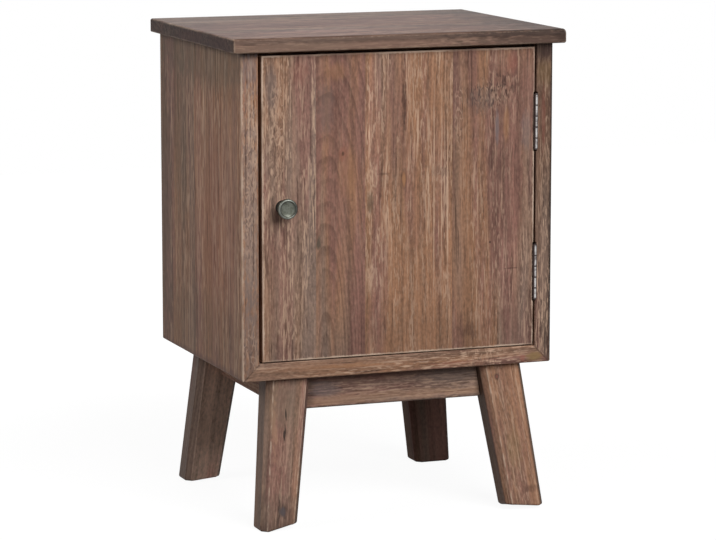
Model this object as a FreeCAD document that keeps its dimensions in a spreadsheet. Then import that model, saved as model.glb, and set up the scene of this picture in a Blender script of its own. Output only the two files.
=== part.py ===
"""Storage side table: a mitred plank cabinet with one hinged door on a base of four splayed legs.

Frame: +X to the right, the door faces -Y, +Z up, millimetres. The origin is on the floor, under the
middle of the whole table's box.
"""
import FreeCAD, Part
import os
import re
import Sketcher

Vector = FreeCAD.Vector
Rotation = FreeCAD.Rotation

SIZES = {
    # Cabinet of mitred panels, each glued up from a front and a back plank
    "carcass_width": 376.0,
    "carcass_depth": 300.0,
    "carcass_height": 370.0,
    "panel": 20.0,
    "back_plank": 130.0,
    "front_arris": 1.5,
    "foot_arris": 3.0,
    # Tongues that lock the two lower mitres
    "spline_thickness": 3.0,
    "spline_width": 12.0,
    "spline_front_stop": 18.0,
    "spline_back_stop": 20.0,
    # Top board of three planks
    "top_thickness": 16.0,
    "side_overhang": 12.0,
    "front_overhang": 12.0,
    "top_front_plank": 112.0,
    "top_back_plank": 96.0,
    "top_front_round": 6.0,
    "top_end_round": 2.5,
    # Back panel, let into the sides and the bottom
    "back_thickness": 6.0,
    "back_rebate": 10.0,
    # Stretchers under the top, dowelled to the sides
    "stretcher_depth": 50.0,
    "stretcher_thickness": 20.0,
    "dowel_radius": 4.0,
    "dowel_in_side": 12.0,
    "dowel_in_stretcher": 18.0,
    "dowel_spacing": 26.0,
    # Door of four planks
    "door_thickness": 18.0,
    "door_left_gap": 4.0,
    "door_top_gap": 4.2,
    "door_bottom_gap": 1.2,
    "door_stop_gap": 0.5,
    "door_plank_one": 64.0,
    "door_plank_two": 59.0,
    "door_plank_three": 106.0,
    "door_arris": 1.0,
    # Butt hinges with five knuckles
    "hinge_length": 63.0,
    "hinge_from_end": 54.0,
    "barrel_radius": 2.5,
    "leaf_thickness": 1.4,
    "leaf_width": 14.0,
    "knuckle_gap": 0.4,
    "barrel_clearance": 0.3,
    "pin_radius": 1.2,
    "pin_clearance": 0.05,
    "pin_proud": 1.3,
    "pin_head_radius": 2.0,
    "pin_head_height": 0.8,
    "mortise_end_gap": 2.5,
    "leaf_screw_offset": 8.0,
    "leaf_screw_spacing": 22.0,
    # Knob, turned from metal
    "knob_from_edge": 24.0,
    "knob_above_middle": 2.6,
    "knob_foot_radius": 8.0,
    "knob_foot": 2.0,
    "knob_neck_radius": 5.5,
    "knob_neck": 9.0,
    "knob_flare": 5.0,
    "knob_rim_radius": 11.5,
    "knob_rim": 4.0,
    "knob_dish_radius": 8.5,
    "knob_dish_depth": 1.5,
    "knob_arris": 1.0,
    "knob_screw_radius": 2.0,
    "knob_screw_bite": 9.0,
    "knob_screw_head_radius": 4.0,
    "knob_screw_head_height": 2.4,
    # Magnetic catch under the front stretcher and its strike plate on the door
    "catch_from_edge": 34.0,
    "catch_length": 46.0,
    "catch_depth": 15.0,
    "catch_height": 14.0,
    "catch_gap": 0.3,
    "magnet_length": 24.0,
    "magnet_height": 5.0,
    "magnet_depth": 9.0,
    "magnet_recess": 0.5,
    "pole_thickness": 1.5,
    "catch_screw_spacing": 35.0,
    "strike_length": 36.0,
    "strike_height": 13.0,
    "strike_thickness": 1.2,
    "strike_screw_spacing": 24.0,
    # Legs, tapered in their width and splayed both ways
    "leg_height": 170.0,
    "leg_width_top": 51.5,
    "leg_width_foot": 42.8,
    "leg_depth": 32.0,
    "leg_side_inset": 33.2,
    "leg_side_splay": 17.1,
    "front_leg_inset": 9.0,
    "front_leg_rake": 26.6,
    "back_leg_inset": 21.5,
    "back_leg_rake": 16.1,
    "leg_arris": 6.0,
    "sole_flat": 15.0,
    "front_left_sole_rise": 7.0,
    "front_right_sole_rise": 3.0,
    "back_left_sole_rise": 4.0,
    "back_right_sole_rise": 1.0,
    "sole_heel": 13.0,
    "front_right_toe_rise": 5.0,
    # Rails between the legs, tenoned into them
    "rail_height": 39.5,
    "rail_thickness": 13.0,
    "rail_setback": 13.0,
    "side_rail_setback": 24.8,
    "rail_arris": 1.5,
    "tenon_length": 14.0,
    "tenon_thickness": 8.0,
    "tenon_height": 13.0,
    "tenon_margin": 5.0,
    # Wood screws
    "screw_slot_width": 0.9,
    "screw_slot_depth": 0.7,
    "fit_slack": 0.05,
    "hinge_screw_head_radius": 2.8,
    "hinge_screw_head_height": 1.2,
    "hinge_screw_radius": 1.4,
    "hinge_screw_length": 14.0,
    "back_screw_head_radius": 3.0,
    "back_screw_head_height": 1.6,
    "back_screw_radius": 1.5,
    "back_screw_bite": 12.0,
    "back_screw_from_end": 60.0,
    "back_screw_spacing": 100.0,
    "top_screw_head_radius": 4.0,
    "top_screw_head_height": 2.2,
    "top_screw_radius": 2.0,
    "top_screw_bite": 10.0,
    "top_screw_spacing": 110.0,
    "base_screw_head_radius": 4.2,
    "base_screw_head_height": 2.5,
    "base_screw_radius": 2.1,
    "base_screw_recess": 8.0,
    "base_screw_bite": 12.0,
    "base_screw_spacing": 120.0,
    "catch_screw_head_radius": 2.5,
    "catch_screw_head_height": 1.2,
    "catch_screw_radius": 1.3,
    "catch_screw_bite": 9.0,
    "strike_screw_bite": 10.0,
}

# Widths and faces that several pieces share, as expressions in the sizes above
HALF = "(carcass_width / 2)"
INNER = "(carcass_width / 2 - panel)"
BASE = "leg_height"
FLOOR = "(leg_height + panel)"
UNDER_TOP = "(leg_height + carcass_height)"
KNOB_REACH = "(knob_foot + knob_neck + knob_flare + knob_rim)"
FOOT_REACH = "(front_leg_rake - front_leg_inset)"
BACK_FOOT_REACH = "max(0; back_leg_rake - back_leg_inset)"
FRONT_REACH = f"max(front_overhang; max({KNOB_REACH}; {FOOT_REACH}))"
FRONT = f"(({FRONT_REACH} - carcass_depth - {BACK_FOOT_REACH}) / 2)"
BACK = f"({FRONT} + carcass_depth)"
PLANK_JOINT = f"({BACK} - back_plank)"

HINGE_GAP = "(2 * (barrel_radius - leaf_thickness))"
DOOR_LEFT = f"(door_left_gap - {INNER})"
DOOR_RIGHT = f"({INNER} - {HINGE_GAP})"
DOOR_BOTTOM = f"({FLOOR} + door_bottom_gap)"
DOOR_TOP = f"({UNDER_TOP} - door_top_gap)"
DOOR_BACK = f"({FRONT} + door_thickness)"
PIN_X = f"({INNER} - {HINGE_GAP} / 2)"
PIN_Y = f"({FRONT} - pin_proud)"
KNUCKLES = 5
ROOM_RADIUS = "(barrel_radius + barrel_clearance)"
KNUCKLE = f"((hinge_length - {KNUCKLES - 1} * knuckle_gap) / {KNUCKLES})"

STRETCHER_FRONT = f"({DOOR_BACK} + door_stop_gap)"
STRETCHER_BACK = f"({BACK} - back_thickness)"
STRETCHER_UNDER = f"({UNDER_TOP} - stretcher_thickness)"
CATCH_X = f"({DOOR_LEFT} + catch_from_edge)"
CATCH_Z = f"({STRETCHER_UNDER} - catch_height / 2)"
STRIKE_BACK = f"({DOOR_BACK} + strike_thickness)"
CATCH_FRONT = f"({STRIKE_BACK} + catch_gap)"

LEG_OUTER_TOP = f"({HALF} - leg_side_inset)"
LEG_OUTER_FOOT = f"({LEG_OUTER_TOP} + leg_side_splay)"
LEG_INNER_TOP = f"({LEG_OUTER_TOP} - leg_width_top)"
LEG_INNER_FOOT = f"({LEG_OUTER_FOOT} - leg_width_foot)"
FRONT_LEG = f"({FRONT} + front_leg_inset)"
BACK_LEG = f"({BACK} - back_leg_inset)"
RAIL_LOW = "(leg_height - rail_height)"
RAIL_DROP = "(rail_height / leg_height)"

SIDES = {"left": -1, "right": 1}
TOUCH = 1e-6

doc = FreeCAD.newDocument("storage_side_table")
sheet = doc.addObject("Spreadsheet::Sheet", "sizes")
for row, (alias, value) in enumerate(SIZES.items(), 1):
    sheet.set(f"A{row}", alias)
    sheet.set(f"B{row}", str(value))
    sheet.setAlias(f"B{row}", alias)
doc.recompute()

pieces = []


def bind(obj, prop, text):
    """Ties a property to an expression in which the sizes go by their plain names."""
    words = re.sub(r"[a-z_]+", lambda m: f"sizes.{m[0]}" if m[0] in SIZES else m[0], str(text))
    obj.setExpression(prop, words)


def size(alias):
    return float(sheet.get(alias))


def place(obj, point, turn=None):
    """Puts an object's own origin at a point given as three expressions, turned if need be."""
    if turn is not None:
        obj.Placement = FreeCAD.Placement(Vector(), turn)
    for axis, text in zip("xyz", point):
        bind(obj, f"Placement.Base.{axis}", text)
    return obj


def keep(obj):
    """Marks an object as a finished sub-part; its name is the sub-part's name."""
    obj.Label = obj.Name
    pieces.append(obj)
    return obj


def box(name, x, y, z):
    """A block between pairs of low and high expressions."""
    obj = doc.addObject("Part::Box", name)
    for prop, (low, high) in zip(("Length", "Width", "Height"), (x, y, z)):
        bind(obj, prop, f"({high}) - ({low})")
    return place(obj, (x[0], y[0], z[0]))


def cylinder(name, radius, height, point=("0", "0", "0"), turn=None):
    obj = doc.addObject("Part::Cylinder", name)
    bind(obj, "Radius", radius)
    bind(obj, "Height", height)
    return place(obj, point, turn)


def cone(name, radius_low, radius_high, height, point=("0", "0", "0")):
    obj = doc.addObject("Part::Cone", name)
    bind(obj, "Radius1", radius_low)
    bind(obj, "Radius2", radius_high)
    bind(obj, "Height", height)
    return place(obj, point)


def fuse(name, shapes):
    obj = doc.addObject("Part::MultiFuse", name)
    obj.Shapes = shapes
    obj.Refine = True
    return obj


def group(name, shapes):
    obj = doc.addObject("Part::Compound", name)
    obj.Links = shapes
    return obj


def cut(name, base, tools):
    """The base with every tool taken out of it."""
    obj = doc.addObject("Part::Cut", name)
    obj.Base = base
    obj.Tool = tools[0] if len(tools) == 1 else group(f"{name}_cuts", tools)
    return obj


def taper(name, along, ends, low, high):
    """A block whose section changes evenly from one end to the other.

    along is "z" with sections (x range, y range), "x" with sections (z range, y range),
    or "y" with sections (x range, z range).
    """
    obj = doc.addObject("Part::Wedge", name)
    for suffix, (first, depth) in (("", low), ("2", high)):
        near, far = depth
        if along == "z":
            near, far = f"-({depth[1]})", f"-({depth[0]})"
        bind(obj, f"X{suffix}min", first[0])
        bind(obj, f"X{suffix}max", first[1])
        bind(obj, f"Z{suffix}min", near)
        bind(obj, f"Z{suffix}max", far)
    bind(obj, "Ymin", ends[0])
    bind(obj, "Ymax", ends[1])
    turns = {"x": Rotation(Vector(1, 1, 1), -120), "y": Rotation(), "z": Rotation(Vector(1, 0, 0), 90)}
    obj.Placement = FreeCAD.Placement(Vector(), turns[along])
    return obj


def edges_on(shape, sides):
    """Numbers of the straight edges that lie on all the named sides of a shape's box."""
    edge_box = shape.BoundBox
    limits = {"left": ("x", edge_box.XMin), "right": ("x", edge_box.XMax),
              "front": ("y", edge_box.YMin), "back": ("y", edge_box.YMax),
              "under": ("z", edge_box.ZMin), "top": ("z", edge_box.ZMax)}
    wanted = [limits[side] for side in sides]
    return [number for number, edge in enumerate(shape.Edges, 1)
            if all(abs(getattr(vertex.Point, axis) - value) < TOUCH
                   for vertex in edge.Vertexes for axis, value in wanted)]


def round_edges(name, base, rounds):
    """Rounds edges of a base; rounds pairs a size's name with the sides that its edges lie on."""
    doc.recompute()
    chosen = {}
    for alias, sides in rounds:
        for number in edges_on(base.Shape, sides):
            chosen.setdefault(number, size(alias))
    obj = doc.addObject("Part::Fillet", name)
    obj.Base = base
    obj.Edges = [(number, radius, radius) for number, radius in chosen.items()]
    return obj


def mirrored(side, low, high):
    """A range on the right, or its mirror image on the left."""
    return (low, high) if SIDES[side] > 0 else (f"-({high})", f"-({low})")


# Screws and dowels: one master of each kind and of its hole, set in place by links

INTO = {
    "+x": Rotation(Vector(0, 0, 1), Vector(1, 0, 0)),
    "-x": Rotation(Vector(0, 0, 1), Vector(-1, 0, 0)),
    "-y": Rotation(Vector(0, 0, 1), Vector(0, -1, 0)),
    "+z": Rotation(),
}


def screw_masters(kind, length, radii):
    """A slotted countersunk screw, its head's top at the origin and its point towards +Z, and its hole."""
    head_radius = f"{radii}_head_radius"
    head_height = f"{radii}_head_height"
    radius = f"{radii}_radius"
    tip = f"(2 * {radius})"
    body = fuse(f"{kind}_body", [
        cone(f"{kind}_head", head_radius, radius, head_height),
        cylinder(f"{kind}_shank", radius, f"{length} - {tip}"),
        cone(f"{kind}_tip", radius, f"{radius} / 5", tip, ("0", "0", f"{length} - {tip}")),
    ])
    slot = box(f"{kind}_slot", (f"-{head_radius}", head_radius),
               ("-screw_slot_width / 2", "screw_slot_width / 2"), ("-screw_slot_depth", "screw_slot_depth"))
    hole = fuse(f"{kind}_hole", [
        cone(f"{kind}_countersink", f"{head_radius} + fit_slack", f"{radius} + fit_slack", head_height),
        cylinder(f"{kind}_pilot", f"{radius} + fit_slack", f"{length} + fit_slack"),
    ])
    return cut(f"{kind}_master", body, [slot]), hole


def links(name, master, points, turn):
    """One link to a master at each point."""
    made = []
    for number, point in enumerate(points, 1):
        link = doc.addObject("App::Link", f"{name}_{number}")
        link.LinkedObject = master
        made.append(place(link, point, turn))
    return made


def screws(name, masters, points, into):
    """A node of screws, and the holes that they need."""
    screw, hole = masters
    keep(group(name, links(f"{name}_each", screw, points, INTO[into])))
    return links(f"{name}_holes", hole, points, INTO[into])


hinge_screw = screw_masters("hinge_screw", "hinge_screw_length", "hinge_screw")
back_screw = screw_masters("back_screw", "(back_thickness + back_screw_bite)", "back_screw")
top_screw = screw_masters("top_screw", "(stretcher_thickness + top_screw_bite)", "top_screw")
base_screw = screw_masters("base_screw", "(rail_height - base_screw_recess + base_screw_bite)", "base_screw")
catch_screw = screw_masters("catch_screw", "(catch_height + catch_screw_bite)", "catch_screw")
strike_screw = screw_masters("strike_screw", "(strike_thickness + strike_screw_bite)", "catch_screw")

# Back panel

back_sheet = box("back_panel_sheet", (f"-{INNER} - back_rebate", f"{INNER} + back_rebate"),
                 (STRETCHER_BACK, BACK), (f"{FLOOR} - back_rebate", UNDER_TOP))
side_screw_x = f"{INNER} + back_rebate / 2"
side_screw_heights = [f"{FLOOR} + back_screw_from_end",
                      f"({FLOOR} + {STRETCHER_UNDER}) / 2",
                      f"{STRETCHER_UNDER} - back_screw_from_end"]
row_x = ["-back_screw_spacing", "0", "back_screw_spacing"]
back_points = {side: [(mirrored(side, side_screw_x, side_screw_x)[0], BACK, z) for z in side_screw_heights]
               for side in SIDES}
back_points["bottom"] = [(x, BACK, f"{FLOOR} - back_rebate / 2") for x in row_x]
back_points["stretcher"] = [(x, BACK, f"{UNDER_TOP} - stretcher_thickness / 2") for x in row_x]
back_order = ["left", "right", "bottom", "stretcher"]
back_holes = screws("back_panel_screws", back_screw, [p for k in back_order for p in back_points[k]], "-y")
back_holes_at = {}
for key in back_order:
    count = len(back_points[key])
    back_holes_at[key], back_holes = back_holes[:count], back_holes[count:]
keep(cut("back_panel", back_sheet, [hole for key in back_order for hole in back_holes_at[key]]))

# Stretchers and their dowels

STRETCHERS = {
    "front_stretcher": (STRETCHER_FRONT, f"{STRETCHER_FRONT} + stretcher_depth"),
    "rear_stretcher": (f"{STRETCHER_BACK} - stretcher_depth", STRETCHER_BACK),
}
dowel = cylinder("dowel_master", "dowel_radius", "dowel_in_side + dowel_in_stretcher")
dowel_hole = cylinder("dowel_hole", "dowel_radius + fit_slack", "dowel_in_side + dowel_in_stretcher")
dowel_each = []
dowel_holes = {}
for stretcher, (low, high) in STRETCHERS.items():
    for side in SIDES:
        start = mirrored(side, f"{INNER} - dowel_in_stretcher", f"{INNER} - dowel_in_stretcher")[0]
        into = INTO["+x" if side == "right" else "-x"]
        points = [(start, f"(({low}) + ({high})) / 2 + {offset} * dowel_spacing / 2",
                   f"{UNDER_TOP} - stretcher_thickness / 2") for offset in (-1, 1)]
        dowel_each += links(f"{stretcher}_{side}_dowel", dowel, points, into)
        dowel_holes[stretcher, side] = links(f"{stretcher}_{side}_dowel_hole", dowel_hole, points, into)
keep(group("stretcher_dowels", dowel_each))

top_screw_x = ["-top_screw_spacing", "0", "top_screw_spacing"]
top_points = [(x, f"(({low}) + ({high})) / 2", STRETCHER_UNDER)
              for low, high in STRETCHERS.values() for x in top_screw_x]
top_holes = screws("top_screws", top_screw, top_points, "+z")

catch_points = [(f"{CATCH_X} + {offset} * catch_screw_spacing / 2", f"{CATCH_FRONT} + catch_depth / 2",
                 f"{STRETCHER_UNDER} - catch_height") for offset in (-1, 1)]
catch_holes = screws("catch_screws", catch_screw, catch_points, "+z")

for number, (stretcher, (low, high)) in enumerate(STRETCHERS.items()):
    blank = box(f"{stretcher}_blank", (f"-{INNER}", INNER), (low, high), (STRETCHER_UNDER, UNDER_TOP))
    own_top_holes = top_holes[3 * number:3 * number + 3]
    own_dowels = dowel_holes[stretcher, "left"] + dowel_holes[stretcher, "right"]
    other = catch_holes if stretcher == "front_stretcher" else back_holes_at["stretcher"]
    keep(cut(stretcher, blank, own_top_holes + own_dowels + other))

# Top board

top_low = f"{FRONT} - front_overhang"
top_joint_front = f"{top_low} + top_front_plank"
top_joint_back = f"{BACK} - top_back_plank"
top_x = (f"-{HALF} - side_overhang", f"{HALF} + side_overhang")
top_z = (UNDER_TOP, f"{UNDER_TOP} + top_thickness")
end_rounds = [("top_end_round", (side, face)) for side in SIDES for face in ("top", "under")]
front_rounds = [("top_front_round", ("front", "top")), ("top_end_round", ("front", "under"))]
front_rounds += [("top_end_round", ("front", side)) for side in SIDES]
back_rounds = [("top_end_round", ("back", edge)) for edge in ("top", "left", "right")]
TOP_PLANKS = {
    "top_front_plank": ((top_low, top_joint_front), front_rounds + end_rounds, top_holes[:3]),
    "top_middle_plank": ((top_joint_front, top_joint_back), end_rounds, []),
    "top_back_plank": ((top_joint_back, BACK), back_rounds + end_rounds, top_holes[3:]),
}
for name, (y, rounds, holes) in TOP_PLANKS.items():
    eased = round_edges(name if not holes else f"{name}_eased", box(f"{name}_blank", top_x, y, top_z), rounds)
    keep(cut(name, eased, holes) if holes else eased)

# Tongues of the lower mitres, and the rounding of the cabinet's lower corners

corner_tools = {}
splines = {}
for side, sign in SIDES.items():
    middle_x = f"{sign} * ({HALF} - panel / 2)"
    middle_z = f"({BASE} + panel / 2)"
    spline = doc.addObject("Part::Box", f"{side}_mitre_spline")
    bind(spline, "Length", "spline_width")
    bind(spline, "Width", "carcass_depth - spline_front_stop - spline_back_stop")
    bind(spline, "Height", "spline_thickness")
    across = f"(spline_width {'+' if sign < 0 else '-'} spline_thickness) / 2 * sqrt(0.5)"
    upward = f"(spline_width {'-' if sign < 0 else '+'} spline_thickness) / 2 * sqrt(0.5)"
    corner = (f"{middle_x} - {across}", f"{FRONT} + spline_front_stop", f"{middle_z} - {sign} * {upward}")
    splines[side] = keep(place(spline, corner, Rotation(Vector(0, 1, 0), -45 * sign)))

    edge_block = box(f"{side}_corner_block", mirrored(side, f"{HALF} - foot_arris", f"{HALF} + foot_arris"),
                     (FRONT, BACK), (f"{BASE} - foot_arris", f"{BASE} + foot_arris"))
    edge_rod = cylinder(f"{side}_corner_rod", "foot_arris", "carcass_depth",
                        (f"{sign} * ({HALF} - foot_arris)", BACK, f"{BASE} + foot_arris"), INTO["-y"])
    edge_core = box(f"{side}_corner_core", mirrored(side, f"{HALF} - 2 * foot_arris", f"{HALF} - foot_arris"),
                    (FRONT, BACK), (f"{BASE} - foot_arris", f"{BASE} + foot_arris"))
    edge_above = box(f"{side}_corner_above", mirrored(side, f"{HALF} - foot_arris", HALF),
                     (FRONT, BACK), (f"{BASE} + foot_arris", f"{BASE} + 2 * foot_arris"))
    corner_tools[side] = cut(f"{side}_corner_cutter", edge_block, [edge_rod, edge_core, edge_above])

# Hinges

HINGES = {
    "upper": f"({DOOR_TOP} - hinge_from_end - hinge_length)",
    "lower": f"({DOOR_BOTTOM} + hinge_from_end)",
}
FRAME_SEAT = f"({INNER} + leaf_thickness)"
DOOR_SEAT = f"({DOOR_RIGHT} - leaf_thickness)"
LEAVES = {
    # leaf: knuckles that it owns, its plate's range across the pin, its mortise's range
    "frame": ((0, 2, 4), (INNER, FRAME_SEAT), (DOOR_RIGHT, FRAME_SEAT)),
    "door": ((1, 3), (DOOR_SEAT, DOOR_RIGHT), (DOOR_SEAT, INNER)),
}
leaf_y = (PIN_Y, f"{PIN_Y} + leaf_width")
mortises = {"frame": [], "door": []}
leaf_points = {"frame": [], "door": []}
for leaf, (own, plate_x, mortise_x) in LEAVES.items():
    surface = INNER if leaf == "frame" else DOOR_RIGHT
    for low in HINGES.values():
        leaf_points[leaf] += [(surface, f"{PIN_Y} + leaf_screw_offset",
                               f"{low} + hinge_length / 2 + {step} * leaf_screw_spacing")
                              for step in (-1, 0, 1)]
frame_holes = screws("hinge_frame_screws", hinge_screw, leaf_points["frame"], "+x")
door_holes = screws("hinge_door_screws", hinge_screw, leaf_points["door"], "-x")
leaf_holes = {"frame": frame_holes, "door": door_holes}


def knuckle_cylinder(name, low, number, radius, spare="0"):
    """A round about the pin over one knuckle's height, with some spare length at both ends."""
    start = f"{low} + {number} * ({KNUCKLE} + knuckle_gap) - {spare}"
    return cylinder(name, radius, f"{KNUCKLE} + 2 * {spare}", (PIN_X, PIN_Y, start))


for number, (hinge, low) in enumerate(HINGES.items()):
    high = f"{low} + hinge_length"
    for leaf, (own, plate_x, mortise_x) in LEAVES.items():
        name = f"{hinge}_hinge_{leaf}_leaf"
        plate = box(f"{name}_plate", plate_x, leaf_y, (low, high))
        rooms = [knuckle_cylinder(f"{name}_room_{k}", low, k, ROOM_RADIUS, "knuckle_gap")
                 for k in range(KNUCKLES) if k not in own]
        barrels = [knuckle_cylinder(f"{name}_knuckle_{k}", low, k, "barrel_radius") for k in own]
        whole = fuse(f"{name}_whole", [cut(f"{name}_notched", plate, rooms)] + barrels)
        bore = cylinder(f"{name}_bore", "pin_radius + pin_clearance", "hinge_length", (PIN_X, PIN_Y, low))
        keep(cut(name, whole, [bore] + leaf_holes[leaf][3 * number:3 * number + 3]))
        mortises[leaf].append(box(f"{name}_mortise", mortise_x, (f"{FRONT} - pin_proud", leaf_y[1]),
                                  (f"{low} - mortise_end_gap", f"{high} + mortise_end_gap")))
    keep(fuse(f"{hinge}_hinge_pin", [
        cylinder(f"{hinge}_pin_shaft", "pin_radius", "hinge_length", (PIN_X, PIN_Y, low)),
        cylinder(f"{hinge}_pin_foot", "pin_head_radius", "pin_head_height",
                 (PIN_X, PIN_Y, f"{low} - pin_head_height")),
        cylinder(f"{hinge}_pin_head", "pin_head_radius", "pin_head_height", (PIN_X, PIN_Y, high)),
    ]))

# Sides and bottom of the cabinet

base_screw_x = ["-base_screw_spacing / 2", "base_screw_spacing / 2"]
rail_seat = f"{RAIL_LOW} + base_screw_recess"
front_rail_y = (f"{FRONT_LEG} + rail_setback", f"{FRONT_LEG} + rail_setback + rail_thickness")
back_rail_y = (f"{BACK_LEG} - rail_setback - rail_thickness", f"{BACK_LEG} - rail_setback")
side_rail_x = (f"{LEG_OUTER_TOP} - side_rail_setback - rail_thickness", f"{LEG_OUTER_TOP} - side_rail_setback")
side_screw_y = [f"{PLANK_JOINT} + {step} * base_screw_spacing / 4" for step in (-1, 1)]
base_points = {
    "front_rail": [(x, f"{front_rail_y[0]} + rail_thickness / 2", rail_seat) for x in base_screw_x],
    "back_rail": [(x, f"{back_rail_y[0]} + rail_thickness / 2", rail_seat) for x in base_screw_x],
}
for side, sign in SIDES.items():
    rail_middle = f"{sign} * ({side_rail_x[0]} + rail_thickness / 2)"
    base_points[f"{side}_rail"] = [(rail_middle, y, rail_seat) for y in side_screw_y]
base_holes = screws("base_screws", base_screw, [p for points in base_points.values() for p in points], "+z")
base_holes_at = {rail: base_holes[2 * n:2 * n + 2] for n, rail in enumerate(base_points)}

PLANKS = {
    # plank: depth range, stretcher that it carries, holes of the bottom's screws, arris at its outer end
    "front": ((FRONT, PLANK_JOINT), "front_stretcher", "front_rail", 0),
    "back": ((PLANK_JOINT, BACK), "rear_stretcher", "back_rail", 1),
}
outer_z = (BASE, UNDER_TOP)
inner_z = (FLOOR, UNDER_TOP)
for plank, (y, stretcher, rail, step) in PLANKS.items():
    for side in SIDES:
        name = f"{side}_side_{plank}_plank"
        ends = mirrored(side, INNER, HALF)
        sections = [(inner_z, y), (outer_z, y)]
        low, high = sections if side == "right" else sections[::-1]
        blank = taper(f"{name}_blank", "x", ends, low, high)
        rounds = [("front_arris", (plank, side))]
        if plank == "front":
            rounds.append(("door_arris", ("front", "right" if side == "left" else "left")))
        eased = round_edges(f"{name}_eased", blank, rounds)
        tools = [splines[side], corner_tools[side]] + dowel_holes[stretcher, side]
        if plank == "back":
            tools += [back_sheet] + back_holes_at[side]
        elif side == "right":
            tools += mortises["frame"] + frame_holes
        keep(cut(name, eased, tools))

    name = f"bottom_{plank}_plank"
    blank = taper(f"{name}_blank", "z", (BASE, FLOOR), ((f"-{HALF}", HALF), y), ((f"-{INNER}", INNER), y))
    rounds = [("front_arris", (plank, "under")), ("door_arris", (plank, "top"))]
    eased = round_edges(f"{name}_eased", blank, rounds)
    tools = [*splines.values(), *corner_tools.values(), *base_holes_at[rail]]
    tools += [base_holes_at[f"{side}_rail"][step] for side in SIDES]
    if plank == "back":
        tools += [back_sheet] + back_holes_at["bottom"]
    keep(cut(name, eased, tools))

# Magnetic catch

catch_x = (f"{CATCH_X} - catch_length / 2", f"{CATCH_X} + catch_length / 2")
magnet_x = (f"{CATCH_X} - magnet_length / 2", f"{CATCH_X} + magnet_length / 2")
magnet_back = f"{CATCH_FRONT} + magnet_depth"
magnet_z = (f"{CATCH_Z} - magnet_height / 2", f"{CATCH_Z} + magnet_height / 2")
pole_y = (CATCH_FRONT, magnet_back)
poles_z = (f"{magnet_z[0]} - pole_thickness", f"{magnet_z[1]} + pole_thickness")
poles = [box("lower_pole_plate", magnet_x, pole_y, (poles_z[0], magnet_z[0])),
         box("upper_pole_plate", magnet_x, pole_y, (magnet_z[1], poles_z[1]))]
catch_block = box("catch_block", catch_x, (CATCH_FRONT, f"{CATCH_FRONT} + catch_depth"),
                  (f"{STRETCHER_UNDER} - catch_height", STRETCHER_UNDER))
catch_pocket = box("catch_pocket", magnet_x, pole_y, poles_z)
keep(cut("catch_body", catch_block, [catch_pocket] + catch_holes))
keep(box("catch_magnet", magnet_x, (f"{CATCH_FRONT} + magnet_recess", magnet_back), magnet_z))
keep(group("catch_pole_plates", poles))

strike_points = [(f"{CATCH_X} + {offset} * strike_screw_spacing / 2", STRIKE_BACK, CATCH_Z)
                 for offset in (-1, 1)]
strike_holes = screws("strike_screws", strike_screw, strike_points, "-y")
strike_x = (f"{CATCH_X} - strike_length / 2", f"{CATCH_X} + strike_length / 2")
strike_z = (f"{CATCH_Z} - strike_height / 2", f"{CATCH_Z} + strike_height / 2")
strike_blank = box("strike_blank", strike_x, (DOOR_BACK, STRIKE_BACK), strike_z)
keep(cut("strike_plate", strike_blank, strike_holes))

# Knob and its screw

KNOB_X = f"({DOOR_LEFT} + knob_from_edge)"
KNOB_Z = f"(({DOOR_BOTTOM} + {DOOR_TOP}) / 2 + knob_above_middle)"
THREAD = "knob_screw_radius + fit_slack"
neck_end = "knob_foot + knob_neck"
KNOB_PROFILE = [
    # radius, height above the door
    (THREAD, "0"),
    ("knob_foot_radius", "0"),
    ("knob_foot_radius", "knob_foot"),
    ("knob_neck_radius", "knob_foot + knob_neck / 3"),
    ("knob_neck_radius", neck_end),
    ("knob_rim_radius", f"{neck_end} + knob_flare"),
    ("knob_rim_radius", KNOB_REACH),
    ("knob_dish_radius", KNOB_REACH),
    ("0", f"{KNOB_REACH} - knob_dish_depth"),
    ("0", "knob_screw_bite + fit_slack"),
    (THREAD, "knob_screw_bite + fit_slack"),
]


def knob_body():
    """The turned knob: its profile revolved about its own axis, with the rim's edges eased."""
    body = doc.addObject("PartDesign::Body", "door_knob")
    plane = next(f for f in body.Origin.OriginFeatures if f.Role == "XZ_Plane")
    sketch = body.newObject("Sketcher::SketchObject", "knob_profile")
    sketch.AttachmentSupport = [(plane, "")]
    sketch.MapMode = "FlatFace"
    count = len(KNOB_PROFILE)
    for number in range(count):
        start = Vector(number, number ** 2, 0)
        end = Vector(number + 1, (number + 1) ** 2, 0)
        sketch.addGeometry(Part.LineSegment(start, end), False)
    for number, (radius, height) in enumerate(KNOB_PROFILE):
        sketch.addConstraint(Sketcher.Constraint("Coincident", number, 1, (number - 1) % count, 2))
        for kind, text in (("DistanceX", radius), ("DistanceY", height)):
            index = sketch.addConstraint(Sketcher.Constraint(kind, -1, 1, number, 1, 1.0))
            bind(sketch, f"Constraints[{index}]", text)
    doc.recompute()
    turned = body.newObject("PartDesign::Revolution", "knob_turned")
    turned.Profile = sketch
    turned.ReferenceAxis = (sketch, ["V_Axis"])
    turned.Angle = 360.0
    doc.recompute()
    eased = body.newObject("PartDesign::Fillet", "knob_eased")
    reach = turned.Shape.BoundBox.ZMax
    rim = [f"Edge{n}" for n, edge in enumerate(turned.Shape.Edges, 1)
           if len(edge.Vertexes) == 1 and edge.BoundBox.ZMin > reach - size("knob_rim") - TOUCH
           and edge.BoundBox.ZMax - edge.BoundBox.ZMin < TOUCH]
    eased.Base = (turned, rim)
    bind(eased, "Radius", "knob_arris")
    return place(body, (KNOB_X, FRONT, KNOB_Z), INTO["-y"])


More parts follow.
